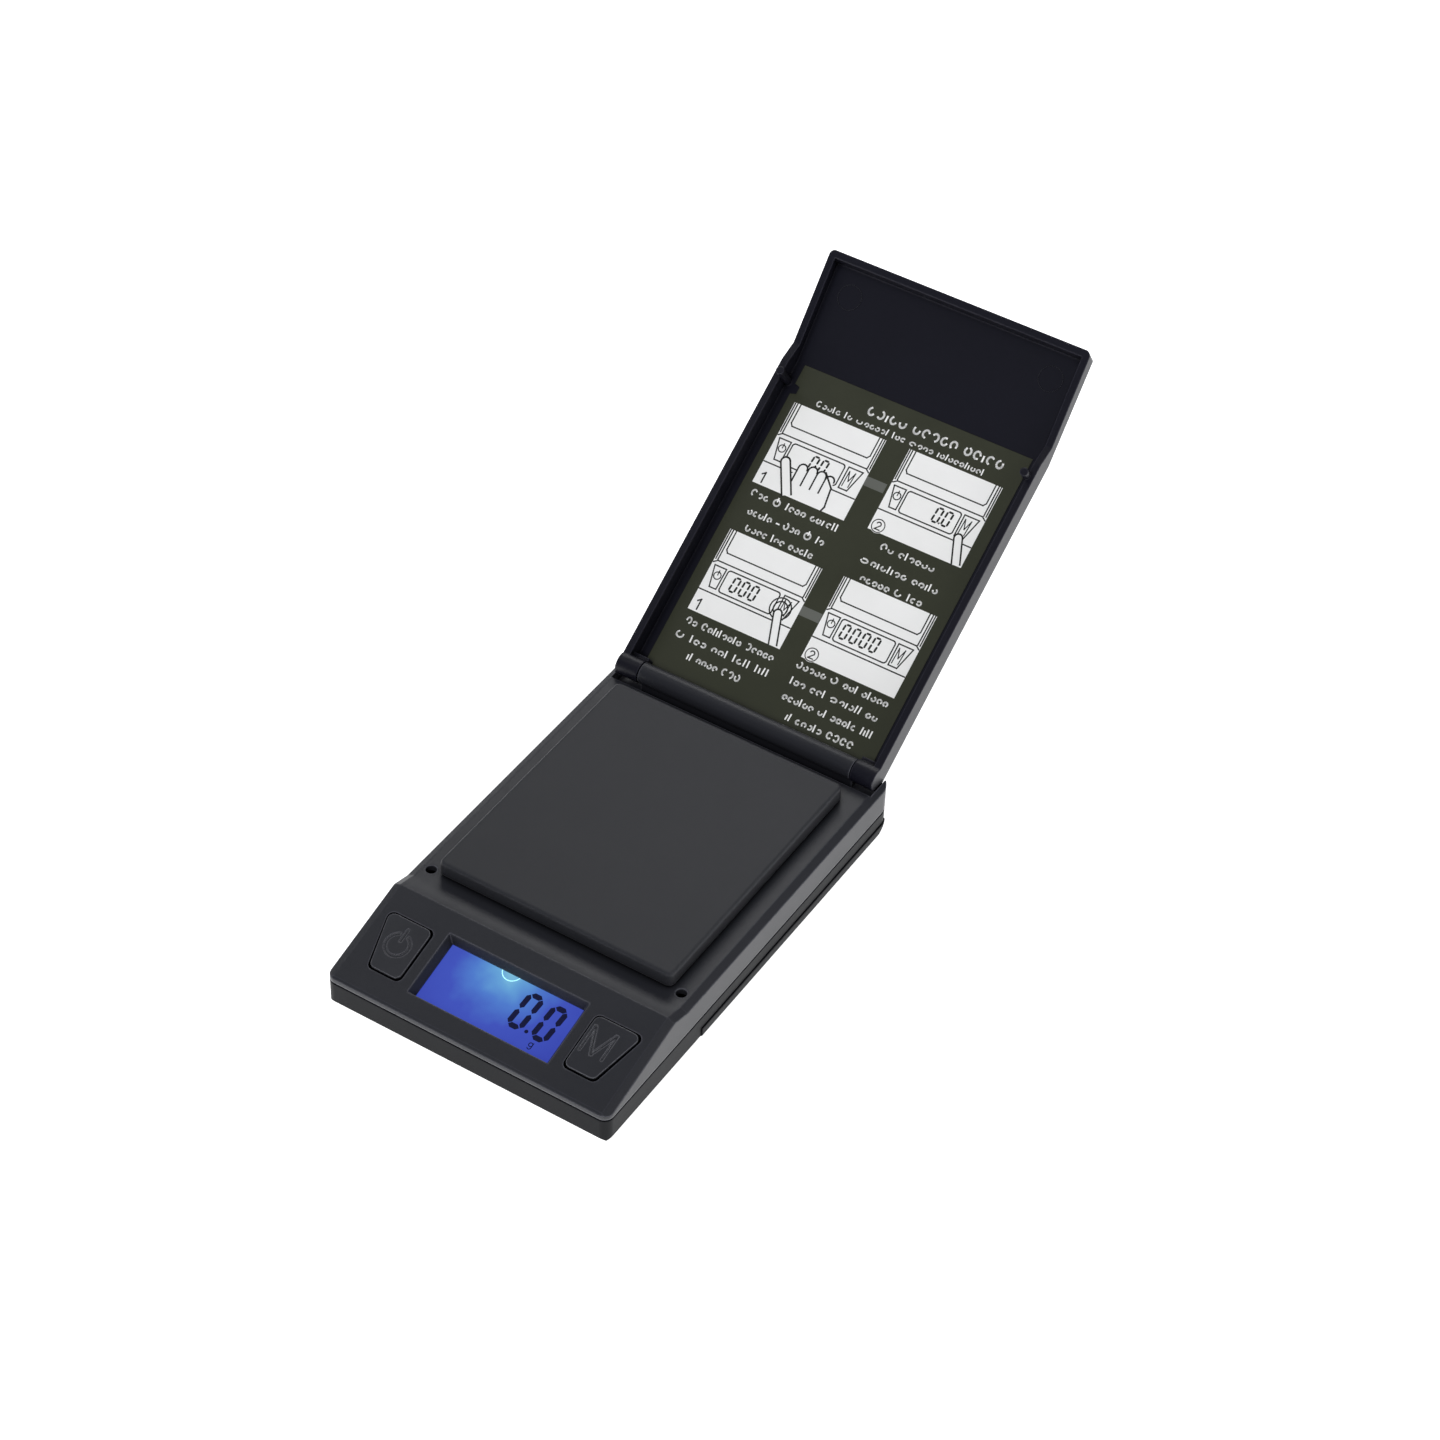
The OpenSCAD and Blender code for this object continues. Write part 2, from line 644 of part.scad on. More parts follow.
module chip_blob() {
    color([0.07, 0.07, 0.08]) in_frame() on_panel() translate([-9, 15, board_z - board_t]) intersection() {
        translate([0, 0, 7.6]) sphere(r = 9);
        translate([0, 0, -3]) cylinder(h = 3, r = 6);
    }
}

module crystal() {
    color(steel) in_frame() on_panel() translate([6, 15, board_z - board_t - 1]) rotate([0, 90, 0]) {
        cylinder(h = 6, r = 1);
        for (s = [-1, 1]) translate([0, s * 0.35, -2]) cylinder(h = 2 + e, r = 0.15);
    }
}

module key_switches() {
    color([0.2, 0.2, 0.22]) in_frame() on_panel() mirrored() translate([switch_x, key_mid_s, board_z]) {
        block([-3, -3, 0], [3, 3, 1.5]);
        cylinder(h = 2.1, r = 1.5);
    }
}

module board_screws() {
    color(steel) in_frame() on_panel() mirrored()
        translate([board_screw.x, board_screw.y, board_z - board_t - 1]) screw(1.7, 1, 0.8, 4.4);
}

// A key's cap, with a flange that holds it under the panel and a stem over its switch
module key_cap() {
    stem_z = board_z + 2.1 + key_travel + 0.1;
    difference() {
        key_prism(0, -wall - 0.9, key_rise);
        translate([0, 0, -wall - 1]) linear_extrude(wall) polygon(rounded(key_outline(-1.2), 0.4));
    }
    difference() {
        key_prism(key_flange, -wall - 0.9, -wall - 0.1);
        translate([0, 0, -wall - 1]) linear_extrude(wall) polygon(rounded(key_outline(-1.2), 0.4));
    }
    translate([switch_x, key_mid_s, stem_z]) cylinder(h = -stem_z - 0.9, r = 1.4);
}

module power_key() {
    color(charcoal) in_frame() on_panel() mirror([1, 0, 0]) difference() {
        key_cap();
        // Engraved ring with a gap, and the bar in the gap
        translate([switch_x + 0.3, key_mid_s + 0.4, key_rise]) {
            difference() {
                translate([0, 0, -engrave]) cylinder(h = 1, r = ring_r);
                translate([0, 0, -1]) cylinder(h = 3, r = ring_r - ring_line);
                block([-1, 1.5, -2], [1, 5, 2]);
            }
            block([-ring_line / 2, 0.9, -engrave], [ring_line / 2, 4.8, 1]);
        }
    }
}

module mode_key() {
    t = letter_line;
    color(charcoal) in_frame() on_panel() difference() {
        key_cap();
        // Engraved letter of four strokes
        translate([key_in + 0.9, key_s + 4.9, key_rise - engrave]) linear_extrude(1) {
            for (x = [0, letter_w - t]) translate([x, 0]) square([t, letter_h]);
            polygon([[0, letter_h], [t * 1.3, letter_h], [letter_w / 2 + t * 0.7, 0],
                     [letter_w / 2 - t * 0.4, 0]]);
            polygon([[letter_w, letter_h], [letter_w - t * 1.3, letter_h], [letter_w / 2 - t * 0.7, 0],
                     [letter_w / 2 + t * 0.4, 0]]);
        }
    }
}

module load_cell() {
    r = 2.1;
    span = 10;
    color([0.78, 0.79, 0.8]) in_frame() difference() {
        block([-beam_w / 2, beam_y0, beam_z], [beam_w / 2, beam_y1, beam_z + beam_t]);
        // Two cross holes joined by a slot, which thin the beam where it bends
        for (s = [-1, 1]) rod_x(plat_mid + s * span / 2, beam_z + beam_t / 2, r, -beam_w, beam_w);
        block([-beam_w, plat_mid - span / 2, beam_z + beam_t / 2 - 0.8],
              [beam_w, plat_mid + span / 2, beam_z + beam_t / 2 + 0.8]);
        for (k = [0, 1]) {
            translate([0, beam_y1 - 3 - k * clamp_pitch, beam_z - 1]) cylinder(h = 20, r = beam_screw_r);
            translate([0, beam_y0 + 3 + k * clamp_pitch, beam_z - 1])
                cylinder(h = 20, r = beam_screw_r + 0.1);
        }
    }
}

module gauge_sealant() {
    color([0.93, 0.93, 0.9]) in_frame() for (z = [beam_z - 0.8, beam_z + beam_t])
        block([-beam_w / 2 + 0.8, plat_mid - 9, z], [beam_w / 2 - 0.8, plat_mid + 9, z + 0.8]);
}

module cell_screws() {
    color(steel) in_frame() for (k = [0, 1])
        translate([0, beam_y1 - 3 - k * clamp_pitch, door_floor_z + 0.2])
            screw(beam_screw_r + 1.1, 1.8, beam_screw_r, beam_clear + 4.2);
}

module overload_stop() {
    color(steel) in_frame() translate([0, beam_y0 + beam_clamp / 2, door_floor_z + 0.1]) difference() {
        cylinder(h = beam_z - press_travel - 0.1 - door_floor_z - 0.1, r = 2);
        translate([0, 0, -e]) cylinder(h = 1.5, r = 1, $fn = 6);
    }
}

module platform_carrier() {
    color([0.2, 0.2, 0.21]) in_frame() difference() {
        union() {
            block([-carrier_half, carrier_y0, carrier_z], [carrier_half, carrier_y1, carrier_top]);
            block([-beam_w / 2, beam_y0, beam_z + beam_t], [beam_w / 2, beam_y0 + beam_clamp, carrier_z + e]);
        }
        for (k = [0, 1]) translate([0, beam_y0 + 3 + k * clamp_pitch, 0]) {
            cylinder(h = 40, r = beam_screw_r + 0.15);
            translate([0, 0, carrier_top - 1.2]) cylinder(h = 5, r = beam_screw_r + 1.3);
        }
        for (x = [-1, 1], y = [carrier_y0 + 6, carrier_y1 - 6])
            translate([x * (carrier_half - 6), y, 0]) cylinder(h = 40, r = 1.5);
        // Lightening windows
        for (x = [-1, 1], y = [0, 1])
            translate([x * carrier_half * 0.55, carrier_y0 + 12 + y * (carrier_y1 - carrier_y0 - 24) / 2, 0])
                block([-5, 2, 0], [5, (carrier_y1 - carrier_y0 - 24) / 2 - 2, 40]);
    }
}

module carrier_screws() {
    color(steel) in_frame() for (k = [0, 1])
        translate([0, beam_y0 + 3 + k * clamp_pitch, carrier_top]) mirror([0, 0, 1])
            screw(beam_screw_r + 1.1, 1.2, beam_screw_r, carrier_top - 1.2 - beam_z - 1.5);
}

// Solid with a rounded top edge and corners
module pillow(half, y0, y1, z0, z1, r, edge) {
    hull() for (x = [-half + r, half - r], y = [y0 + r, y1 - r])
        translate([x, y, z0]) rotate_extrude($fn = 32) {
        square([r, z1 - z0 - edge]);
        square([r - edge, z1 - z0]);
        translate([r - edge, z1 - z0 - edge]) circle(r = edge, $fn = 24);
    }
}

module weighing_platform() {
    skirt_z = deck_top + plat_gap;
    color([0.25, 0.25, 0.27]) in_frame() {
        difference() {
            pillow(plat_half, plat_y0, plat_y1, skirt_z, plat_top, plat_r, plat_edge);
            block([-plat_half + plat_t, plat_y0 + plat_t, 0],
                  [plat_half - plat_t, plat_y1 - plat_t, plat_top - plat_t]);
        }
        for (x = [-1, 1], y = [carrier_y0 + 6, carrier_y1 - 6]) translate([x * (carrier_half - 6), y, 0]) {
            translate([0, 0, carrier_top]) cylinder(h = plat_top - plat_t - carrier_top + e, r = 3);
            translate([0, 0, carrier_top - 1.6]) cylinder(h = 2, r = 1.4);
        }
    }
}

// A cell lying along y, its button towards dir
module battery(x, dir) {
    y0 = dir > 0 ? bay_y + spring_room : bay_y + 2.7 + cell_l;
    color([0.75, 0.6, 0.3]) in_frame() translate([x, y0, cell_z]) rotate([dir > 0 ? -90 : 90, 0, 0]) {
        cylinder(h = cell_l, r = cell_r);
        translate([0, 0, cell_l - e]) cylinder(h = 1.2, r = 1.9);
    }
}

module battery_left() {
    battery(-bay_x, 1);
}

module battery_right() {
    battery(bay_x, -1);
}

// Cone springs press on the flat ends
module battery_springs() {
    color(steel) in_frame() for (s = [-1, 1]) {
        y = s < 0 ? bay_y : bay_y + bay_l;
        translate([s * bay_x, y, cell_z]) rotate([s < 0 ? -90 : 90, 0, 0]) {
            block([-4.5, -4.5, 0], [4.5, 4.5, 0.4]);
            for (k = [0 : 4]) translate([0, 0, 0.75 + 0.75 * k]) rotate_extrude()
                translate([3.6 - 0.35 * k, 0]) circle(r = 0.42, $fn = 16);
        }
    }
}

// Plates with a raised middle meet the buttons
module battery_plates() {
    color(steel) in_frame() for (s = [-1, 1]) {
        y = s < 0 ? bay_y + bay_l : bay_y;
        translate([s * bay_x, y, cell_z]) rotate([s < 0 ? 90 : -90, 0, 0]) {
            block([-4.5, -4.5, 0], [4.5, 4.5, 0.4]);
            cylinder(h = 1.4, r1 = 3, r2 = 1.8);
        }
    }
}

module gauge_wires() {
    hues = ["red", "black", "white", "green"];
    for (k = [0 : 3]) color(hues[k]) in_frame() wire([
        [beam_w / 2 - 0.78, plat_mid - 7 + k, beam_z + beam_t + 0.4],
        [beam_w / 2 + 2 + 0.8 * k, plat_mid - 7 + k, beam_z + beam_t + 0.4],
        [beam_w / 2 + 2 + 0.8 * k, beam_y0 + 2, beam_z + 2],
        [4 + 0.8 * k, step_y + 2, board_end.y - 0.2],
        [2 + 1.2 * k, board_end.x + 0.05, board_end.y + 0.6]], 0.3);
}

module battery_wires() {
    for (s = [-1, 1]) color(s < 0 ? "black" : "red") in_frame() wire([
        [s * bay_x, bay_y - 0.02, cell_z], [s * bay_x, bay_y - 3, cell_z - 0.5], [s * 20, step_y + 9, 6.5],
        [s * 17, step_y + 1, 8], [s * 16, board_end.x + 0.05, board_end.y + 0.6]], 0.5);
}

module link_wire() {
    y = bay_y + bay_l;
    color("black") in_frame() wire([
        [-bay_x, y + 0.02, cell_z], [-bay_x, y + 3, cell_z - 0.5], [-bay_x + 8, y + 4, 6.3],
        [bay_x - 8, y + 4, 6.3], [bay_x, y + 3, cell_z - 0.5], [bay_x, y + 0.02, cell_z]], 0.5);
}

module hinge_pins() {
    color(steel) in_frame() mirrored()
        rod_x(hinge_y, hinge_z, pin_r, knuckle_out - 0.5 - pin_l, knuckle_out - 0.5);
}

// What is taken off one long edge to round it: a bar from y0 to y1 with a cylinder left standing
module edge_round(half, y0, y1, r) {
    mirrored() difference() {
        block([half - r, y0, -r], [half + 1, y1, 1]);
        translate([half - r, y0 - 1, -r]) rotate([-90, 0, 0]) cylinder(h = y1 - y0 + 2, r = r);
    }
}

module lid_shell() {
    rise = lid_t / cos(lid_slope);
    front_top = lid_in_z - lid_slope_drop() + rise;
    outer_bend = lid_bend_y - lid_t * tan(lid_slope / 2);
    plate_end = hinge_y - 0.5;
    color(lid_black) in_frame() opened() difference() {
        union() {
            difference() {
                across(lid_half, [
                    [lid_front, panel_z], [lid_front, front_top], [outer_bend, lid_top_z],
                    [plate_end, lid_top_z], [plate_end, lid_in_z], [hinge_y - 1, hinge_z],
                    [hinge_y - 1, deck_top], [hinge_y - 3, panel_z]]);
                across(lid_half - lid_wall, [
                    [lid_front + lid_wall, 0],
                    [lid_front + lid_wall, lid_front_z + lid_wall * tan(lid_slope)],
                    [lid_bend_y, lid_in_z], [base_l + 9, lid_in_z], [base_l + 9, 0]]);
                // Clearance over the panel, ridge and deck
                across(big, concat(base_top(lid_gap), [
                    [base_l + 9, deck_top + lid_gap], [base_l + 9, 0], [0, 0]]));
            }
            mirrored() {
                rod_x(hinge_y, hinge_z, knuckle_r, knuckle_in, knuckle_out);
                translate([(knuckle_in + knuckle_out) / 2, 0, 0]) across(knuckle_l / 2, [
                    [hinge_y - 3.9, hinge_z], [hinge_y - 3.9, lid_in_z + e], [plate_end, lid_in_z + e],
                    [plate_end, lid_top_z - 0.4], [hinge_y + knuckle_r - 0.2, hinge_z + 1.1],
                    [hinge_y, hinge_z]]);
                translate([peg_x, peg_y, deck_top - peg_in])
                    cylinder(h = lid_in_z - deck_top + peg_in + e, r = peg_hole_r - 0.3);
            }
        }
        mirrored() rod_x(hinge_y, hinge_z, pin_r + pin_clear, knuckle_in - 1, knuckle_out - 0.4);
        translate([0, 0, lid_top_z]) edge_round(lid_half, outer_bend, hinge_y + 9, lid_edge);
        translate([0, outer_bend, lid_top_z]) rotate([lid_slope, 0, 0])
            edge_round(lid_half, -big, 0, lid_edge);
        mirrored() difference() {
            block([lid_half - lid_corner, lid_front - 1, 0], [lid_half + 1, lid_front + lid_corner, big]);
            translate([lid_half - lid_corner, lid_front + lid_corner, -1])
                cylinder(h = big + 2, r = lid_corner);
        }
    }
}

// Sticker with a small notch in its left edge
module lid_label() {
    notch_y = label_y0 + 7;
    color([0.23, 0.24, 0.2]) in_frame() opened() difference() {
        block([-label_half, label_y0, lid_in_z - label_t], [label_half, label_y1, lid_in_z]);
        translate([0, 0, lid_in_z - 1]) linear_extrude(2) polygon([
            [-label_half - 1, notch_y + 1.8], [-label_half - 1, notch_y - 1.8],
            [-label_half + 1.6, notch_y - 1], [-label_half + 1.6, notch_y + 1]]);
    }
}

upper_shell();
lower_shell();
battery_door();
front_feet();
rear_feet();
case_screws();
lcd_glass();
lcd_frame();
backlight();
zebra_strip();
main_board();
chip_blob();
crystal();
key_switches();
board_screws();
power_key();
mode_key();
load_cell();
gauge_sealant();
cell_screws();
overload_stop();
platform_carrier();
carrier_screws();
weighing_platform();
battery_left();
battery_right();
battery_springs();
battery_plates();
gauge_wires();
battery_wires();
link_wire();
hinge_pins();
lid_shell();
lid_label();
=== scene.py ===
import json
import math
import random

import bmesh
import bpy
from mathutils import Matrix, Vector


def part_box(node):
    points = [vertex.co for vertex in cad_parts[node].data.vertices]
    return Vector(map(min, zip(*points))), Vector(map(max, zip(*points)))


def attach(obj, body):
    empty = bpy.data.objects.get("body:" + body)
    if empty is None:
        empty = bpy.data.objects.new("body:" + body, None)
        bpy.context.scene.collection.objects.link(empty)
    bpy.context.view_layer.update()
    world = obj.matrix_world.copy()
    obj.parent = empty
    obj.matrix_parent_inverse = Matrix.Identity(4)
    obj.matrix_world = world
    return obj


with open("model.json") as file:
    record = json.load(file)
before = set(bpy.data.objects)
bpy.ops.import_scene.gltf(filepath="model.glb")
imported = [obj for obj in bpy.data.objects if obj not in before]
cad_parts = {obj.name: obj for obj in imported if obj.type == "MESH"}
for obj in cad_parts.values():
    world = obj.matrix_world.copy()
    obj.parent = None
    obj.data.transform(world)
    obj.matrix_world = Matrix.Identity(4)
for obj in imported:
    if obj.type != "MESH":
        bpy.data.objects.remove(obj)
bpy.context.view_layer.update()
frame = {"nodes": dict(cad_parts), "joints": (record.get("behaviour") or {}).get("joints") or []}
mm = 0.001
nodes = frame["nodes"]
print("frame loaded:", len(nodes), "CAD nodes")


def linear(hexColour, alpha=1.0):
    channels = [int(hexColour[i:i + 2], 16) / 255 for i in (1, 3, 5)]
    return [c / 12.92 if c <= 0.04045 else ((c + 0.055) / 1.055) ** 2.4 for c in channels] + [alpha]


def addNode(tree, kind, inputs=None, **settings):
    node = tree.nodes.new(kind)
    for name, value in settings.items():
        setattr(node, name, value)
    for name, value in (inputs or {}).items():
        if isinstance(value, bpy.types.NodeSocket):
            tree.links.new(value, node.inputs[name])
        else:
            node.inputs[name].default_value = value
    return node


def startMaterial(name, **surface):
    material = bpy.data.materials.new(name)
    material.use_nodes = True
    tree = material.node_tree
    shader = tree.nodes["Principled BSDF"]
    for key, value in surface.items():
        shader.inputs[key].default_value = value
    place = addNode(tree, "ShaderNodeTexCoord").outputs["Object"]
    return material, tree, shader, place


def blendColours(tree, factor, first, second):
    mix = addNode(tree, "ShaderNodeMix", {0: factor}, data_type="RGBA")
    for slot, colour in ((6, first), (7, second)):
        if isinstance(colour, bpy.types.NodeSocket):
            tree.links.new(colour, mix.inputs[slot])
        else:
            mix.inputs[slot].default_value = colour
    return mix.outputs[2]


def noise(tree, place, sizeMm, **settings):
    # a noise pattern with its cells sized in millimetres
    inputs = {"Vector": place, "Scale": 1 / (sizeMm * mm), **settings}
    return addNode(tree, "ShaderNodeTexNoise", inputs).outputs["Fac"]


def remap(tree, value, source=(0.0, 1.0), target=(0.0, 1.0)):
    limits = dict(zip(("From Min", "From Max", "To Min", "To Max"), source + target))
    return addNode(tree, "ShaderNodeMapRange", {"Value": value, **limits}).outputs[0]


def addBump(tree, shader, height, strength, depthMm, normal=None):
    inputs = {"Height": height, "Strength": strength, "Distance": depthMm * mm}
    if normal is not None:
        inputs["Normal"] = normal
    bump = addNode(tree, "ShaderNodeBump", inputs)
    tree.links.new(bump.outputs[0], shader.inputs["Normal"])


# ---- materials

mould = {"ior": 1.53, "cloudRange": (0.3, 0.7), "edgeSamples": 6, "edgeTurn": (0.995, 0.8),
         "grooveMm": 2.5, "grooveSamples": 8, "grooveRange": (0.3, 0.85), "grooveColour": "#08080a",
         "smudgeMm": 9, "smudgeRange": (0.25, 0.75), "grainDepthMm": 0.02}


def mouldedAbs(name, look):
    # injection-moulded ABS: satin, with a spark-eroded grain, faint flow clouds, a painted highlight along
    # the rounded edges and painted shade in the grooves
    material, tree, shader, place = startMaterial(name, **{"IOR": mould["ior"]})
    clouds = noise(tree, place, look["cloudMm"], Detail=3.0)
    shade = remap(tree, clouds, mould["cloudRange"])
    base = blendColours(tree, shade, linear(look["colour"]), linear(look["colourLight"]))
    corner = addNode(tree, "ShaderNodeBevel", {"Radius": look["edgeMm"] * mm}, samples=mould["edgeSamples"])
    flat = addNode(tree, "ShaderNodeNewGeometry")
    turn = addNode(tree, "ShaderNodeVectorMath", {0: corner.outputs[0], 1: flat.outputs["Normal"]},
                   operation="DOT_PRODUCT")
    # the lighter edge colour is a painted highlight along the rounded edges
    highlightMask = remap(tree, turn.outputs["Value"], mould["edgeTurn"], (0.0, look["edgeHighlightStrength"]))
    highlighted = blendColours(tree, highlightMask, base, linear(look["edgeHighlightColour"]))
    # less light reaches grooves and inner corners, so they are darker and duller than open faces
    groove = addNode(tree, "ShaderNodeAmbientOcclusion", {"Distance": mould["grooveMm"] * mm},
                     samples=mould["grooveSamples"])
    openness = remap(tree, groove.outputs["AO"], mould["grooveRange"])
    shaded = blendColours(tree, openness, linear(mould["grooveColour"]), highlighted)
    tree.links.new(shaded, shader.inputs["Base Color"])
    gleam = addNode(tree, "ShaderNodeMath", {0: openness, 1: look["shine"]}, operation="MULTIPLY")
    tree.links.new(gleam.outputs[0], shader.inputs["Specular IOR Level"])
    smudge = noise(tree, place, mould["smudgeMm"], Detail=5.0, Roughness=0.65)
    rough = remap(tree, smudge, mould["smudgeRange"],
                  (look["rough"] - look["patchy"], look["rough"] + look["patchy"]))
    tree.links.new(rough, shader.inputs["Roughness"])
    grain = noise(tree, place, look["grainMm"], Detail=2.0)
    addBump(tree, shader, grain, look["grainDepth"], mould["grainDepthMm"], corner.outputs[0])
    return material


# the edge colour and its strength in each look set the painted highlight along the rounded edges
absLooks = {
    "shell": {"colour": "#232429", "colourLight": "#26272c", "edgeHighlightColour": "#70717a",
              "edgeHighlightStrength": 0.7, "edgeMm": 0.7, "rough": 0.42, "shine": 0.34,
              "cloudMm": 30, "grainMm": 0.3, "grainDepth": 0.5, "patchy": 0.02},
    # lower shell and battery door: the shell plastic painted darker, as painted shade on the front and lower
    # faces
    "belly": {"colour": "#101114", "colourLight": "#131417", "edgeHighlightColour": "#3a3b40",
              "edgeHighlightStrength": 0.4, "edgeMm": 0.5, "rough": 0.5, "shine": 0.1,
              "cloudMm": 30, "grainMm": 0.3, "grainDepth": 0.5, "patchy": 0.02},
    "key": {"colour": "#232429", "colourLight": "#26272c", "edgeHighlightColour": "#9c9da4",
            "edgeHighlightStrength": 1.0, "edgeMm": 0.4, "rough": 0.38, "shine": 0.38,
            "cloudMm": 12, "grainMm": 0.3, "grainDepth": 0.4, "patchy": 0.02},
    "platform": {"colour": "#25262a", "colourLight": "#27282c", "edgeHighlightColour": "#74757d",
                 "edgeHighlightStrength": 0.8, "edgeMm": 0.6, "rough": 0.5, "shine": 0.3,
                 "cloudMm": 35, "grainMm": 0.22, "grainDepth": 0.5, "patchy": 0.01},
    "lid": {"colour": "#13131b", "colourLight": "#15151e", "edgeHighlightColour": "#3e3e4a",
            "edgeHighlightStrength": 0.55, "edgeMm": 0.6, "rough": 0.4, "shine": 0.3,
            "cloudMm": 40, "grainMm": 0.35, "grainDepth": 0.3, "patchy": 0.02},
}

vinyl = {"ior": 1.5, "specular": 0.35, "coat": 0.25, "coatRough": 0.15, "inkMm": 18,
         "smoother": 0.04, "rougher": 0.06, "rippleMm": 14, "ripple": 0.25, "rippleDepthMm": 0.1}


def printedVinyl(name, look):
    # printed sticker under a gloss laminate: even dark olive ink, a soft skin and a slight ripple
    material, tree, shader, place = startMaterial(name, **{
        "IOR": vinyl["ior"], "Specular IOR Level": vinyl["specular"], "Coat Weight": vinyl["coat"],
        "Coat Roughness": vinyl["coatRough"]})
    tone = noise(tree, place, vinyl["inkMm"], Detail=2.0)
    inked = blendColours(tree, tone, linear(look["colour"]), linear(look["colourLight"]))
    tree.links.new(inked, shader.inputs["Base Color"])
    rough = remap(tree, tone, target=(look["rough"] - vinyl["smoother"], look["rough"] + vinyl["rougher"]))
    tree.links.new(rough, shader.inputs["Roughness"])
    ripple = noise(tree, place, vinyl["rippleMm"], Detail=1.0)
    addBump(tree, shader, ripple, vinyl["ripple"], vinyl["rippleDepthMm"])
    return material


inkLooks = {
    "field": {"colour": "#303226", "colourLight": "#383a2d", "rough": 0.35},
    "white": {"colour": "#eeeeec", "colourLight": "#fbfbfa", "rough": 0.4},
    "line": {"colour": "#1d1d1b", "colourLight": "#30302d", "rough": 0.45},
    "grey": {"colour": "#5c5e59", "colourLight": "#686a64", "rough": 0.4},
}

glassGloss = {"IOR": 1.5, "Specular IOR Level": 0.3}
glow = {"rough": 0.16, "wispMm": 6, "driftMm": 7, "spreadMm": 36}


def backlitDisplay(name, look):
    # LCD over a blue electroluminescent film: even blue, with a bright spot by its lamp
    material, tree, shader, place = startMaterial(name, **{
        "Base Color": linear("#10183c"), "Roughness": glow["rough"],
        "Emission Strength": look["strength"], **glassGloss})
    spread = addNode(tree, "ShaderNodeVectorMath", {0: place, 1: look["lamp"]}, operation="DISTANCE")
    wisp = noise(tree, place, glow["wispMm"], Detail=2.0)
    drift = glow["driftMm"] * mm
    reach = addNode(tree, "ShaderNodeMath", {0: wisp, 1: drift, 2: -drift / 2}, operation="MULTIPLY_ADD")
    total = addNode(tree, "ShaderNodeMath", {0: spread.outputs["Value"], 1: reach.outputs[0]},
                    operation="ADD")
    along = remap(tree, total.outputs[0], (0.0, glow["spreadMm"] * mm))
    ramp = addNode(tree, "ShaderNodeValToRGB", {"Fac": along})
    stops = ramp.color_ramp.elements
    for index, (at, colour) in enumerate(look["stops"]):
        stop = stops[index] if index < 2 else stops.new(at)
        stop.position, stop.color = at, linear(colour)
    tree.links.new(ramp.outputs[0], shader.inputs["Emission Color"])
    return material


def inkOnGlass(name, colour, strength):
    # liquid crystal segments and printed glow line: a dark or pale tone seen through the top glass
    material, tree, shader, place = startMaterial(name, **{
        "Roughness": 0.2, "Emission Strength": strength, **glassGloss})
    mixed = blendColours(tree, noise(tree, place, 1.5), linear(colour[0]), linear(colour[1]))
    tree.links.new(mixed, shader.inputs["Base Color"])
    tree.links.new(mixed, shader.inputs["Emission Color"])
    return material


stockSkin = {"smoother": 0.08, "rougher": 0.1, "bump": 0.3, "depthMm": 0.02}


def plainStock(name, look):
    # stock parts inside the case: each keeps its usual colour, with fine scratches or a cast skin
    colour, colourLight, rough, metal, grainMm = look
    material, tree, shader, place = startMaterial(name, **{"Metallic": metal})
    grain = noise(tree, place, grainMm, Detail=4.0)
    mixed = blendColours(tree, grain, linear(colour), linear(colourLight))
    tree.links.new(mixed, shader.inputs["Base Color"])
    skin = remap(tree, grain, target=(rough - stockSkin["smoother"], rough + stockSkin["rougher"]))
    tree.links.new(skin, shader.inputs["Roughness"])
    addBump(tree, shader, grain, stockSkin["bump"], stockSkin["depthMm"])
    return material


stockLooks = {
    # darker and lighter colour, roughness, metal, size of the grain in mm
    "nickelPlatedSteel": ("#a9a9a6", "#c4c4c1", 0.3, 1.0, 0.5),
    "milledAluminium": ("#b4b6b8", "#cfd0d2", 0.35, 1.0, 0.8),
    "siliconeSealant": ("#d9d8cf", "#eceae2", 0.5, 0.0, 3),
    "nitrileRubber": ("#17171a", "#1f1f23", 0.75, 0.0, 0.4),
    "carbonSilicone": ("#c08a92", "#d8a6ac", 0.6, 0.0, 0.2),
    "solderMask": ("#0f5a2c", "#156a36", 0.35, 0.0, 2),
    "pottingResin": ("#0a0a0b", "#141416", 0.3, 0.0, 2),
    "diffuserAcrylic": ("#dfe6ea", "#f1f5f7", 0.3, 0.0, 4),
    "printedFoil": ("#8a6a2c", "#a5823c", 0.35, 0.3, 6),
    "blackNylon": ("#1d1d20", "#26262a", 0.55, 0.0, 0.5),
    "pvcSheath": ("#8c1c1c", "#a52626", 0.45, 0.0, 1),
}

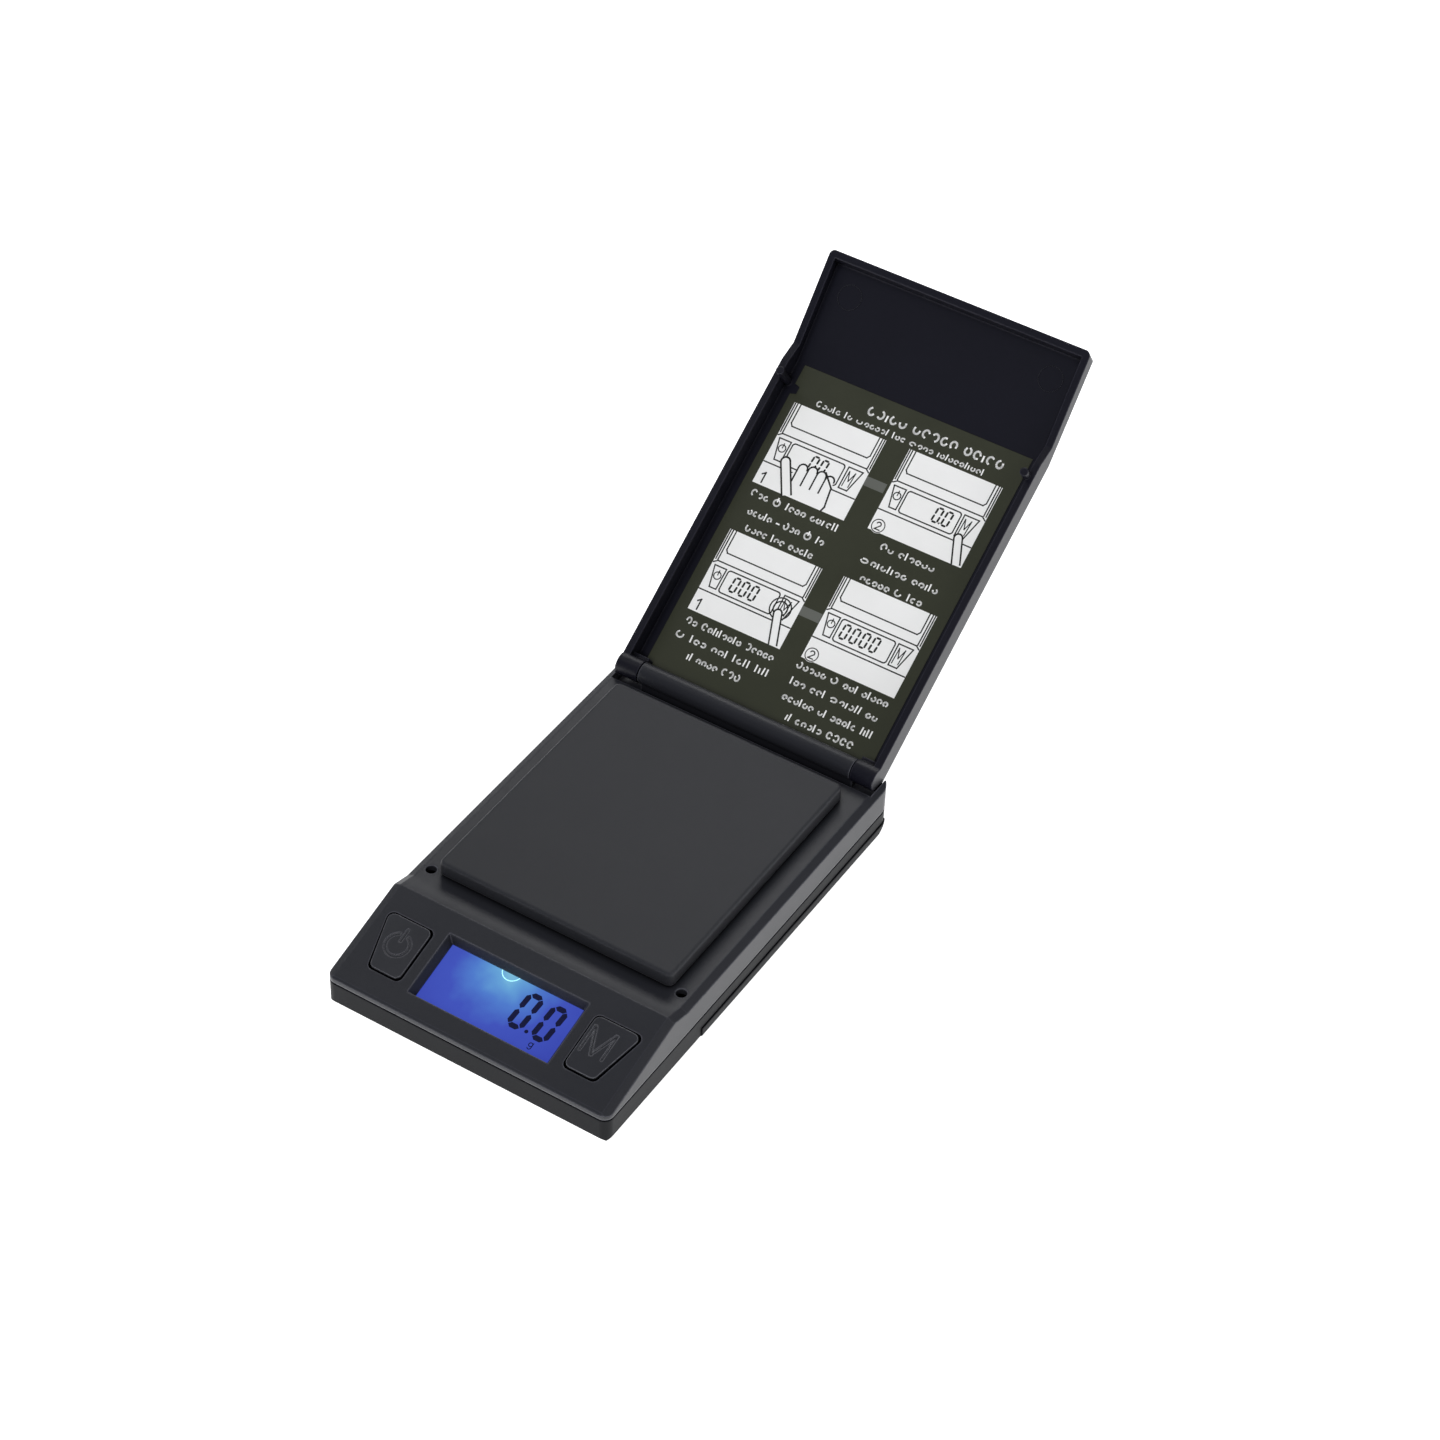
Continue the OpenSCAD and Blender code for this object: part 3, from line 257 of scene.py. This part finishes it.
absFinish = {key: mouldedAbs("mouldedAbs." + key, look) for key, look in absLooks.items()}
ink = {key: printedVinyl("printedVinyl." + key, look) for key, look in inkLooks.items()}
stock = {key: plainStock(key, look) for key, look in stockLooks.items()}
nodeFinish = {
    "upper_shell": absFinish["shell"], "lower_shell": absFinish["belly"], "battery_door": absFinish["belly"],
    "power_key": absFinish["key"], "mode_key": absFinish["key"], "weighing_platform": absFinish["platform"],
    "lid_shell": absFinish["lid"], "lid_label": ink["field"], "platform_carrier": stock["blackNylon"],
    "front_feet": stock["nitrileRubber"], "rear_feet": stock["nitrileRubber"],
    "lcd_frame": stock["blackNylon"],
    "backlight": stock["diffuserAcrylic"], "zebra_strip": stock["carbonSilicone"],
    "main_board": stock["solderMask"],
    "chip_blob": stock["pottingResin"], "key_switches": stock["blackNylon"],
    "load_cell": stock["milledAluminium"],
    "gauge_sealant": stock["siliconeSealant"], "battery_left": stock["printedFoil"],
    "battery_right": stock["printedFoil"], "gauge_wires": stock["pvcSheath"],
    "battery_wires": stock["pvcSheath"], "link_wire": stock["pvcSheath"],
}


# ---- edges of the moulded parts

soften = {"weldMm": 0.002, "flatDeg": 0.4, "segments": 3, "weight": 100}
edgeWidths = (("upper_shell", 0.6, 24), ("lower_shell", 0.3, 24), ("battery_door", 0.25, 24),
              ("lid_shell", 0.35, 12), ("power_key", 0.3, 24), ("mode_key", 0.3, 24))


def softenEdges(name, widthMm, angleDeg):
    node = nodes[name]
    for polygon in node.data.polygons:
        polygon.use_smooth = True
    weld = node.modifiers.new("weld", "WELD")
    weld.merge_threshold = soften["weldMm"] * mm
    flat = node.modifiers.new("flat", "DECIMATE")
    flat.decimate_type = "DISSOLVE"
    flat.angle_limit = math.radians(soften["flatDeg"])
    bevel = node.modifiers.new("bevel", "BEVEL")
    bevel.width = widthMm * mm
    bevel.segments = soften["segments"]
    bevel.limit_method = "ANGLE"
    bevel.angle_limit = math.radians(angleDeg)
    bevel.use_clamp_overlap = True
    even = node.modifiers.new("even", "WEIGHTED_NORMAL")
    even.mode = "FACE_AREA"
    even.weight = soften["weight"]


def finishNodes():
    for name, node in nodes.items():
        node.data.materials.clear()
        node.data.materials.append(nodeFinish.get(name, stock["nickelPlatedSteel"]))


finishNodes()
for name, widthMm, angleDeg in edgeWidths:
    softenEdges(name, widthMm, angleDeg)
print("materials on the CAD nodes")


# ---- frames of the panel and the lid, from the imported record

joints = {joint["name"]: joint for joint in frame["joints"]}
slope = math.asin(joints["mode_key_press"]["axis"][1])
hinge = Vector(joints["lid_hinge"]["pos_m"])
lidTilt = math.pi - math.radians(joints["lid_hinge"]["range_deg"][1])
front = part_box("upper_shell")[0].y
panelSetback, panelHeight = 0.6, 10.0  # foot of the panel, behind the front edge and above the table, in mm
panelStart = Vector((0, front + panelSetback * mm, panelHeight * mm))
panelFrame = Matrix.Translation(panelStart) @ Matrix.Rotation(slope, 4, "X")
lidFrame = Matrix.Translation(hinge) @ Matrix.Rotation(lidTilt, 4, "X")
labelFace = -3.15  # height of the sticker's face in the lid's frame, in mm


def raisedPatch(sheet, outline, base, height):
    # a closed slab on an outline of (x, y) points, in mm
    low = [sheet.verts.new((x * mm, y * mm, base * mm)) for x, y in outline]
    high = [sheet.verts.new((x * mm, y * mm, (base + height) * mm)) for x, y in outline]
    count = len(outline)
    sheet.faces.new(high)
    sheet.faces.new(low[::-1])
    for i in range(count):
        j = (i + 1) % count
        sheet.faces.new((low[i], low[j], high[j], high[i]))


def stroke(sheet, points, width, base, height, closed=False):
    # a drawn line: one slab for each run, lengthened by half its width
    ends = list(points) + ([points[0]] if closed else [])
    for (ax, ay), (bx, by) in zip(ends, ends[1:]):
        run = math.hypot(bx - ax, by - ay)
        if run < 1e-6:
            continue
        ux, uy = (bx - ax) / run * width / 2, (by - ay) / run * width / 2
        raisedPatch(sheet, [(ax - ux + uy, ay - uy - ux), (bx + ux + uy, by + uy - ux),
                            (bx + ux - uy, by + uy + ux), (ax - ux - uy, ay - uy + ux)], base, height)


def arcPoints(x, y, radius, start, end, count):
    turns = [math.radians(start + (end - start) * i / count) for i in range(count + 1)]
    return [(x + radius * math.cos(turn), y + radius * math.sin(turn)) for turn in turns]


def makePiece(name, sheet, place, material, body):
    bmesh.ops.recalc_face_normals(sheet, faces=sheet.faces)
    mesh = bpy.data.meshes.new(name)
    sheet.to_mesh(mesh)
    sheet.free()
    piece = bpy.data.objects.new(name, mesh)
    bpy.context.scene.collection.objects.link(piece)
    mesh.transform(place)
    mesh.materials.append(material)
    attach(piece, body)
    return piece


# ---- display

display = {
    "face": -2.6, "lift": 0.01, "inkHeight": 0.03, "glowHeight": 0.02,
    "digitHeight": 9.0, "digitWidth": 3.35, "lean": 0.085, "stroke": 1.4, "gap": 0.16,
    "digits": ((4.55, 10.15), (11.45, 10.0)), "dot": (9.75, 10.3), "dotRadius": 0.5,
    "unit": (12.6, 7.9), "unitPen": 0.2, "lamp": (-1.9, 22.2), "glowRadius": 2.6, "glowPen": 0.22,
    "strength": 0.78, "inkStrength": 0.3, "glowStrength": 0.6,
    "stops": ((0.0, "#8fd8f0"), (1.0, "#2f3fa8"), (0.1, "#6fb4ea"), (0.24, "#5586dc"),
              (0.42, "#4458c8"), (0.7, "#3d4cbc")),
}


def segmentOutline(ax, ay, bx, by, width):
    # one bar of a numeral, pointed at both ends
    run = math.hypot(bx - ax, by - ay)
    ux, uy = (bx - ax) / run, (by - ay) / run
    half = width / 2
    return [(ax, ay), (ax + (ux + uy) * half, ay + (uy - ux) * half),
            (bx - (ux - uy) * half, by - (uy + ux) * half), (bx, by),
            (bx - (ux + uy) * half, by - (uy - ux) * half), (ax + (ux - uy) * half, ay + (uy + ux) * half)]


def drawZero(sheet, x, y, wide, high, look, base, height):
    lean = look["lean"] * high
    corners = {"lb": (x, y), "rb": (x + wide, y), "lm": (x + lean / 2, y + high / 2),
               "rm": (x + wide + lean / 2, y + high / 2), "lt": (x + lean, y + high),
               "rt": (x + wide + lean, y + high)}
    for a, b in (("lb", "rb"), ("lb", "lm"), ("rb", "rm"), ("lm", "lt"), ("rm", "rt"), ("lt", "rt")):
        (ax, ay), (bx, by) = corners[a], corners[b]
        run = math.hypot(bx - ax, by - ay)
        gx, gy = (bx - ax) / run * look["gap"], (by - ay) / run * look["gap"]
        raisedPatch(sheet, segmentOutline(ax + gx, ay + gy, bx - gx, by - gy, look["stroke"]), base, height)


def makeDisplay():
    look = display
    inkBase = look["face"] + look["lift"]
    lamp = panelFrame @ Vector((look["lamp"][0] * mm, look["lamp"][1] * mm, look["face"] * mm))
    film = {"strength": look["strength"], "lamp": lamp, "stops": look["stops"]}
    blue = backlitDisplay("backlitDisplay", film)
    nodes["lcd_glass"].data.materials.clear()
    nodes["lcd_glass"].data.materials.append(blue)
    dark = inkOnGlass("liquidCrystalInk", ("#0b0d2a", "#10133a"), look["inkStrength"])
    pale = inkOnGlass("lampGlow", ("#a8e4f4", "#c4f0fa"), look["glowStrength"])
    numerals = bmesh.new()
    for x, y in look["digits"]:
        drawZero(numerals, x, y, look["digitWidth"], look["digitHeight"], look, inkBase, look["inkHeight"])
    x, y = look["dot"]
    raisedPatch(numerals, arcPoints(x, y, look["dotRadius"], 0, 330, 11), inkBase, look["inkHeight"])
    # the unit sign: a bowl with a hooked tail
    x, y = look["unit"]
    tail = [(x + 0.5, y + 0.55), (x + 0.5, y - 0.7)] + arcPoints(x, y - 0.75, 0.48, 0, -150, 6)
    for line in (arcPoints(x, y, 0.5, 0, 360, 12), tail):
        stroke(numerals, line, look["unitPen"], inkBase, look["inkHeight"])
    makePiece("displayNumerals", numerals, panelFrame, dark, "base")
    lampLine = bmesh.new()
    x, y = look["lamp"]
    arc = arcPoints(x, y, look["glowRadius"], -165, -15, 20)
    stroke(lampLine, arc, look["glowPen"], inkBase, look["glowHeight"])
    makePiece("displayGlow", lampLine, panelFrame, pale, "base")


makeDisplay()
print("display made")


# ---- sticker in the lid

sticker = {
    "line": 0.36, "paper": 0.02, "step": 0.014, "lift": 0.002, "seed": 7,
    # each drawing's field and each bar: left, top or bottom, width, height
    "panels": ((-31.2, 81.0, 27.4, 23.6), (2.9, 81.3, 27.2, 23.2),
               (-30.3, 43.8, 27.6, 23.4), (3.4, 44.3, 27.2, 23.4)),
    "bars": ((-3.9, 67.9, 6.0, 2.6), (-2.8, 30.5, 6.0, 2.6)),
    # numerals on the drawn displays: drawing, left end of each
    "digitRows": ((0, (11.8, 14.6)), (1, (14.2, 17.0)), (2, (7.6, 10.4, 13.2)), (3, (6.4, 9.3, 12.2, 15.1))),
    "digit": {"lean": 0.08, "gap": 0.08, "stroke": 0.55, "wide": 1.6, "high": 3.9, "drop": 15.0},
    "stepPen": 0.42, "ring": {"disc": 2.0, "radius": 1.75, "pen": 0.26, "signPen": 0.32},
    # each row: left end, right end, height above the hinge axis, cap height, pattern of marks
    "rows": (
        (-11.9, 28.3, 85.3, 2.5, "LLiLL LLLLL LLiLL"),
        (-25.5, 24.2, 82.1, 1.75, "Lxxlx lx mxxxxl lxx mxxx ixlxxxlixxl"),
        (-29.8, -3.6, 53.9, 2.0, "Lxx O lxxx xx/xll"),
        (-28.2, -5.2, 49.1, 2.0, "xxxlx - Lxx O lx"),
        (-26.6, -6.2, 44.8, 2.0, "Lxxx lxx xxxlx"),
        (8.6, 24.6, 54.2, 2.0, "Lx xlxxxx"),
        (5.4, 28.1, 49.3, 2.0, "mxixlixx xxils"),
        (7.7, 25.9, 44.8, 2.0, "xxxxx M lxx"),
        (-28.9, -2.5, 16.7, 2.0, "Lx Lxlilxxlx Lxxxx"),
        (-29.7, -1.6, 12.5, 2.0, "M lxx xxl lxll lill"),
        (-23.9, -7.9, 8.2, 2.0, "il xxxx LLL"),
        (3.5, 30.5, 17.9, 2.0, "Lxxxx M xxl xlxxx"),
        (4.1, 29.8, 13.5, 2.0, "lxx xxl mxixll xx"),
        (4.1, 30.6, 9.1, 2.0, "xxxlxx xl xxxlx lill"),
        (7.5, 27.4, 4.6, 2.0, "il xxxlx LLLL")),
}


def drawMark(sheet, x, y, wide, tall, pen, base, height, dice):
    # part of an oval turned at random, which reads as print and spells nothing
    start, sweep = dice.uniform(0, 360), dice.uniform(190, 290)
    points = [(x + wide / 2 * math.cos(math.radians(start + sweep * i / 9)),
               y + tall / 2 * math.sin(math.radians(start + sweep * i / 9))) for i in range(10)]
    stroke(sheet, points, pen, base, height)


# how wide each kind of mark is next to the others, with its gap
markWidths = {"L": 0.72, "x": 0.62, "l": 0.34, "i": 0.3, "m": 0.95, "M": 0.95, " ": 0.4, "O": 0.95,
              "/": 0.45, "-": 0.4, "s": 0.55}
markShape = {"pen": 0.2, "inked": 0.62, "low": 0.72, "slant": 0.12, "dash": 0.35, "sign": 0.42}


def drawRow(sheet, row, base, height, dice):
    # one row of marks: L and M tall, x and m low, the rest narrow, O the power sign
    left, right, foot, cap, pattern = row
    scale = (right - left) / sum(markWidths[c] for c in pattern)
    pen = cap * markShape["pen"]
    at = left
    for c in pattern:
        wide = markWidths[c] * scale
        inner = wide * markShape["inked"]
        tall = (cap if c in "LlM" else cap * markShape["low"]) - pen
        if c in "LxmMs":
            drawMark(sheet, at + inner / 2, foot + (tall + pen) / 2, inner, tall, pen, base, height, dice)
        elif c in "li/":
            slant = dice.uniform(-markShape["slant"], markShape["slant"])
            stroke(sheet, [(at, foot + pen / 2), (at + slant, foot + pen / 2 + tall)], pen, base, height)
        elif c == "-":
            level = foot + cap * markShape["dash"]
            stroke(sheet, [(at, level), (at + inner, level)], pen, base, height)
        elif c == "O":
            x, y = at + inner / 2, foot + cap * markShape["sign"]
            stroke(sheet, arcPoints(x, y, cap * markShape["sign"], 115, 425, 14), pen, base, height)
            stroke(sheet, [(x, y + cap * 0.2), (x, y + cap * 0.62)], pen, base, height)
        at += wide


def roundedBox(x, y, wide, high, radius):
    return (arcPoints(x + wide - radius, y + high - radius, radius, 0, 90, 4)
            + arcPoints(x + radius, y + high - radius, radius, 90, 180, 4)
            + arcPoints(x + radius, y + radius, radius, 180, 270, 4)
            + arcPoints(x + wide - radius, y + radius, radius, 270, 360, 4))


def drawScale(lines, panel, base, look):
    # the scale itself, seen from above: platform, display and two keys
    x, top, wide, high = panel
    pen, step = look["line"], look["step"]
    thin = pen * 0.8

    def draw(points, closed=False, width=pen):
        stroke(lines, points, width, base, step, closed)

    for offset in (0.35, 1.0, wide - 1.0, wide - 0.35):
        draw([(x + offset, top - 0.1), (x + offset, top - 8.6)])
    draw([(x + 1.9, top - 0.1), (x + 1.9, top - 5.4), (x + 2.5, top - 6.2), (x + wide - 2.5, top - 6.2),
          (x + wide - 1.9, top - 5.4), (x + wide - 1.9, top - 0.1)])
    draw([(x + 0.2, top - 9.6), (x + 1.2, top - 8.9), (x + wide - 1.2, top - 8.9),
          (x + wide - 0.2, top - 9.6)])
    draw([(x + 0.2, top - 17.4), (x + wide - 0.2, top - 17.4)])
    draw(roundedBox(x + 5.2, top - 16.3, 15.6, 6.2, 0.8), True)
    draw([(x + 1.0, top - 10.2), (x + 4.5, top - 10.2), (x + 4.4, top - 16.0), (x + 2.4, top - 16.0)], True)
    draw([(x + wide - 5.6, top - 10.2), (x + wide - 1.4, top - 10.2), (x + wide - 3.1, top - 16.2),
          (x + wide - 5.6, top - 16.2)], True)
    draw(arcPoints(x + 3.0, top - 12.6, 1.0, 0, 360, 14), False, thin)
    draw([(x + 3.0, top - 11.2), (x + 3.0, top - 12.4)], False, thin)
    k = x + wide - 5.0
    draw([(k, top - 15.4), (k + 0.15, top - 11.2), (k + 1.0, top - 13.8), (k + 1.9, top - 11.2),
          (k + 1.7, top - 15.2)], False, thin)


def drawFinger(papers, lines, tip, root, width, base, step, pen):
    # a pointing finger with a round tip
    (tx, ty), (rx, ry) = tip, root
    aim = math.degrees(math.atan2(ty - ry, tx - rx))
    half = width / 2
    side = math.radians(aim + 90)
    ox, oy = math.cos(side) * half, math.sin(side) * half
    outline = ([(rx - ox, ry - oy)] + arcPoints(tx, ty, half, aim - 90, aim + 90, 8)
               + [(rx + ox, ry + oy)])
    raisedPatch(papers, outline, base, 2 * step)
    stroke(lines, outline, pen, base + 2 * step, step)


def makeSticker():
    look = sticker
    dice = random.Random(look["seed"])
    paper, line, grey = bmesh.new(), bmesh.new(), bmesh.new()
    base = labelFace + look["lift"]
    over = base + look["paper"]
    step, pen = look["step"], look["line"]
    for x, top, wide, high in look["panels"]:
        corners = [(x, top - high), (x + wide, top - high), (x + wide, top), (x, top)]
        raisedPatch(paper, corners, base, look["paper"])
    for x, y, wide, high in look["bars"]:
        corners = [(x, y), (x + wide, y), (x + wide, y + high), (x, y + high)]
        raisedPatch(grey, corners, base, look["paper"] / 2)
    for row in look["rows"]:
        drawRow(paper, row, base, look["paper"], dice)
    for panel in look["panels"]:
        drawScale(line, panel, over, look)
    digit = look["digit"]
    for index, places in look["digitRows"]:
        x, top, wide, high = look["panels"][index]
        for place in places:
            drawZero(line, x + place, top - digit["drop"], digit["wide"], digit["high"], digit, over, step)
        if index < 2:
            dot = x + places[1] - 0.6
            stroke(line, [(dot, top - 14.9), (dot + 0.05, top - 14.8)], 0.4, over, step)
    # step numbers, two plain and two in rings
    for index in (0, 2):
        x, top, wide, high = look["panels"][index]
        y = top - high + 0.7
        stroke(line, [(x + 1.5, y + 2.2), (x + 2.3, y + 2.8), (x + 2.3, y)], look["stepPen"], over, step)
    ring = look["ring"]
    for index in (1, 3):
        x, top, wide, high = look["panels"][index]
        cx, cy = x + 2.3, top - high + 1.6
        raisedPatch(paper, arcPoints(cx, cy, ring["disc"], 0, 345, 23), base, look["paper"] + step)
        stroke(line, arcPoints(cx, cy, ring["radius"], 0, 360, 28), ring["pen"], over + step, step)
        sign = arcPoints(cx, cy + 0.4, 0.6, 160, -20, 8) + [(cx - 0.65, cy - 1.0), (cx + 0.75, cy - 1.0)]
        stroke(line, sign, ring["signPen"], over + step, step)
    # hand on the first drawing: thumb side, palm and three curled fingers
    x, top, wide, high = look["panels"][0]
    low = top - high
    lift = over + 3 * step
    palm = [(x + 8.6, low), (x + 8.6, top - 17.6), (x + 10.6, top - 14.6), (x + 17.0, top - 14.0),
            (x + 20.2, top - 17.2), (x + 21.0, low + 1.2), (x + 20.6, low)]
    handPen, fingerPen = pen * 1.3, pen * 1.2
    raisedPatch(paper, palm, over, 2 * step)
    stroke(line, palm[3:], handPen, lift, step)
    for at in (9.7, 12.5, 15.2, 17.8):
        knuckle = arcPoints(x + at + 1.1, top - 15.0 - abs(at - 13) * 0.12, 1.25, 0, 180, 8)
        root = [(x + at - 0.15, top - 17.6), (x + at + 2.35, top - 17.6)]
        raisedPatch(paper, knuckle + root, over, 3 * step)
        stroke(line, knuckle + [(x + at - 0.15, top - 19.6)], fingerPen, lift, step)
    tip, root = (x + 5.6, top - 15.4), (x + 10.2, low + 0.2)
    drawFinger(paper, line, tip, root, 2.5, over + 2 * step, step, handPen)
    # single fingers on the mode key
    x, top, wide, high = look["panels"][1]
    tip, root = (x + 22.9, top - 16.4), (x + 25.6, top - high + 0.2)
    drawFinger(paper, line, tip, root, 2.2, over, step, fingerPen)
    x, top, wide, high = look["panels"][2]
    for radius in (1.9, 2.9):
        stroke(line, arcPoints(x + 22.6, top - 13.8, radius, 0, 360, 26), pen, over, step)
    tip, root = (x + 22.6, top - 15.2), (x + 25.4, top - high + 0.2)
    drawFinger(paper, line, tip, root, 2.2, over + step, step, fingerPen)
    makePiece("stickerPaper", paper, lidFrame, ink["white"], "lid")
    makePiece("stickerLines", line, lidFrame, ink["line"], "lid")
    makePiece("stickerBars", grey, lidFrame, ink["grey"], "lid")


makeSticker()
print("sticker drawn")


# ---- ejector marks in the lid, in the lighter shell plastic as a painted highlight

bend = {"start": 90.8, "angle": 14.5, "face": -3.3}
ejector = {"x": (-29.4, 29.6), "y": 20.6, "radius": 3.3, "pen": 0.14, "height": 0.02}


def makeEjectorMarks():
    marks = bmesh.new()
    for x in ejector["x"]:
        circle = arcPoints(x, ejector["y"], ejector["radius"], 0, 360, 40)
        stroke(marks, circle, ejector["pen"], 0.0, ejector["height"])
    place = (lidFrame @ Matrix.Translation((0, bend["start"] * mm, bend["face"] * mm))
             @ Matrix.Rotation(math.radians(bend["angle"]), 4, "X"))
    # the raised rings are real ejector marks; the lighter shell plastic on them is a painted highlight
    makePiece("lidEjectorRingHighlights", marks, place, absFinish["shell"], "lid")


makeEjectorMarks()
print("lid marks made")


# ---- stage, lights and camera

stage = {"size": 6.0, "colour": "#f4f4f4", "colourLight": "#fafafa", "rough": 0.9, "glow": 0.97,
         "fibre": 300.0}
sky = {"colour": "#e9edf8", "strength": 0.18}


def makeStage():
    sheet = bmesh.new()
    bmesh.ops.create_grid(sheet, x_segments=1, y_segments=1, size=stage["size"] / 2)
    mesh = bpy.data.meshes.new("floor")
    sheet.to_mesh(mesh)
    sheet.free()
    floor = bpy.data.objects.new("floor", mesh)
    bpy.context.scene.collection.objects.link(floor)
    # translucent white sweep, lit through from behind so that it takes no shadow
    material, tree, shader, place = startMaterial("paperSweep", **{
        "Roughness": stage["rough"], "Emission Strength": stage["glow"], "Emission Color": linear("#ffffff")})
    fibre = addNode(tree, "ShaderNodeTexNoise", {"Vector": place, "Scale": stage["fibre"]})
    paper = blendColours(tree, fibre.outputs["Fac"], linear(stage["colour"]), linear(stage["colourLight"]))
    tree.links.new(paper, shader.inputs["Base Color"])
    mesh.materials.append(material)


lights = (
    {"name": "sideKey", "at": (1.1, 0.3, 0.9), "aim": (0, 0, 0.02), "size": (0.7, 0.7), "watts": 3.5,
     "glossy": True},
    {"name": "backSoftbox", "at": (-0.5, 1.15, 1.1), "aim": (0, 0.02, 0.02), "size": (0.9, 0.7), "watts": 6,
     "glossy": True},
    {"name": "panelSoftbox", "at": (-0.75, 0.0, 0.95), "aim": (0, -0.08, 0.01), "size": (0.35, 0.35),
     "watts": 0.8, "glossy": True},
    {"name": "frontFill", "at": (0.1, -1.1, 1.1), "aim": (0, 0.05, 0.04), "size": (0.8, 0.8), "watts": 15,
     "glossy": False},
)


def makeLights():
    for look in lights:
        light = bpy.data.lights.new(look["name"], "AREA")
        light.shape = "RECTANGLE"
        light.size, light.size_y = look["size"]
        light.energy = look["watts"]
        lamp = bpy.data.objects.new(look["name"], light)
        bpy.context.scene.collection.objects.link(lamp)
        lamp.location = look["at"]
        lamp.visible_glossy = look["glossy"]
        lamp.rotation_euler = (Vector(look["aim"]) - Vector(look["at"])).to_track_quat("-Z", "Y").to_euler()
    world = bpy.data.worlds.new("studio")
    world.use_nodes = True
    background = world.node_tree.nodes["Background"]
    background.inputs["Color"].default_value = linear(sky["colour"])
    background.inputs["Strength"].default_value = sky["strength"]
    bpy.context.scene.world = world


cameraLook = {"at": (0.3478, -0.5810, 0.6627), "right": (0.842166, 0.538336, 0.030822),
              "up": (-0.387716, 0.564831, 0.728452), "lens": 94.17, "shift": (-0.0015, 0.0008)}


def makeCamera():
    data = bpy.data.cameras.new("camera")
    data.lens = cameraLook["lens"]
    data.shift_x, data.shift_y = cameraLook["shift"]
    camera = bpy.data.objects.new("camera", data)
    bpy.context.scene.collection.objects.link(camera)
    right, up = Vector(cameraLook["right"]), Vector(cameraLook["up"])
    turn = Matrix((right, up, right.cross(up))).transposed().to_4x4()
    camera.matrix_world = Matrix.Translation(cameraLook["at"]) @ turn
    bpy.context.scene.camera = camera


makeStage()
makeLights()
makeCamera()
bpy.context.scene.view_settings.view_transform = "Standard"
print("stage, lights and camera made")
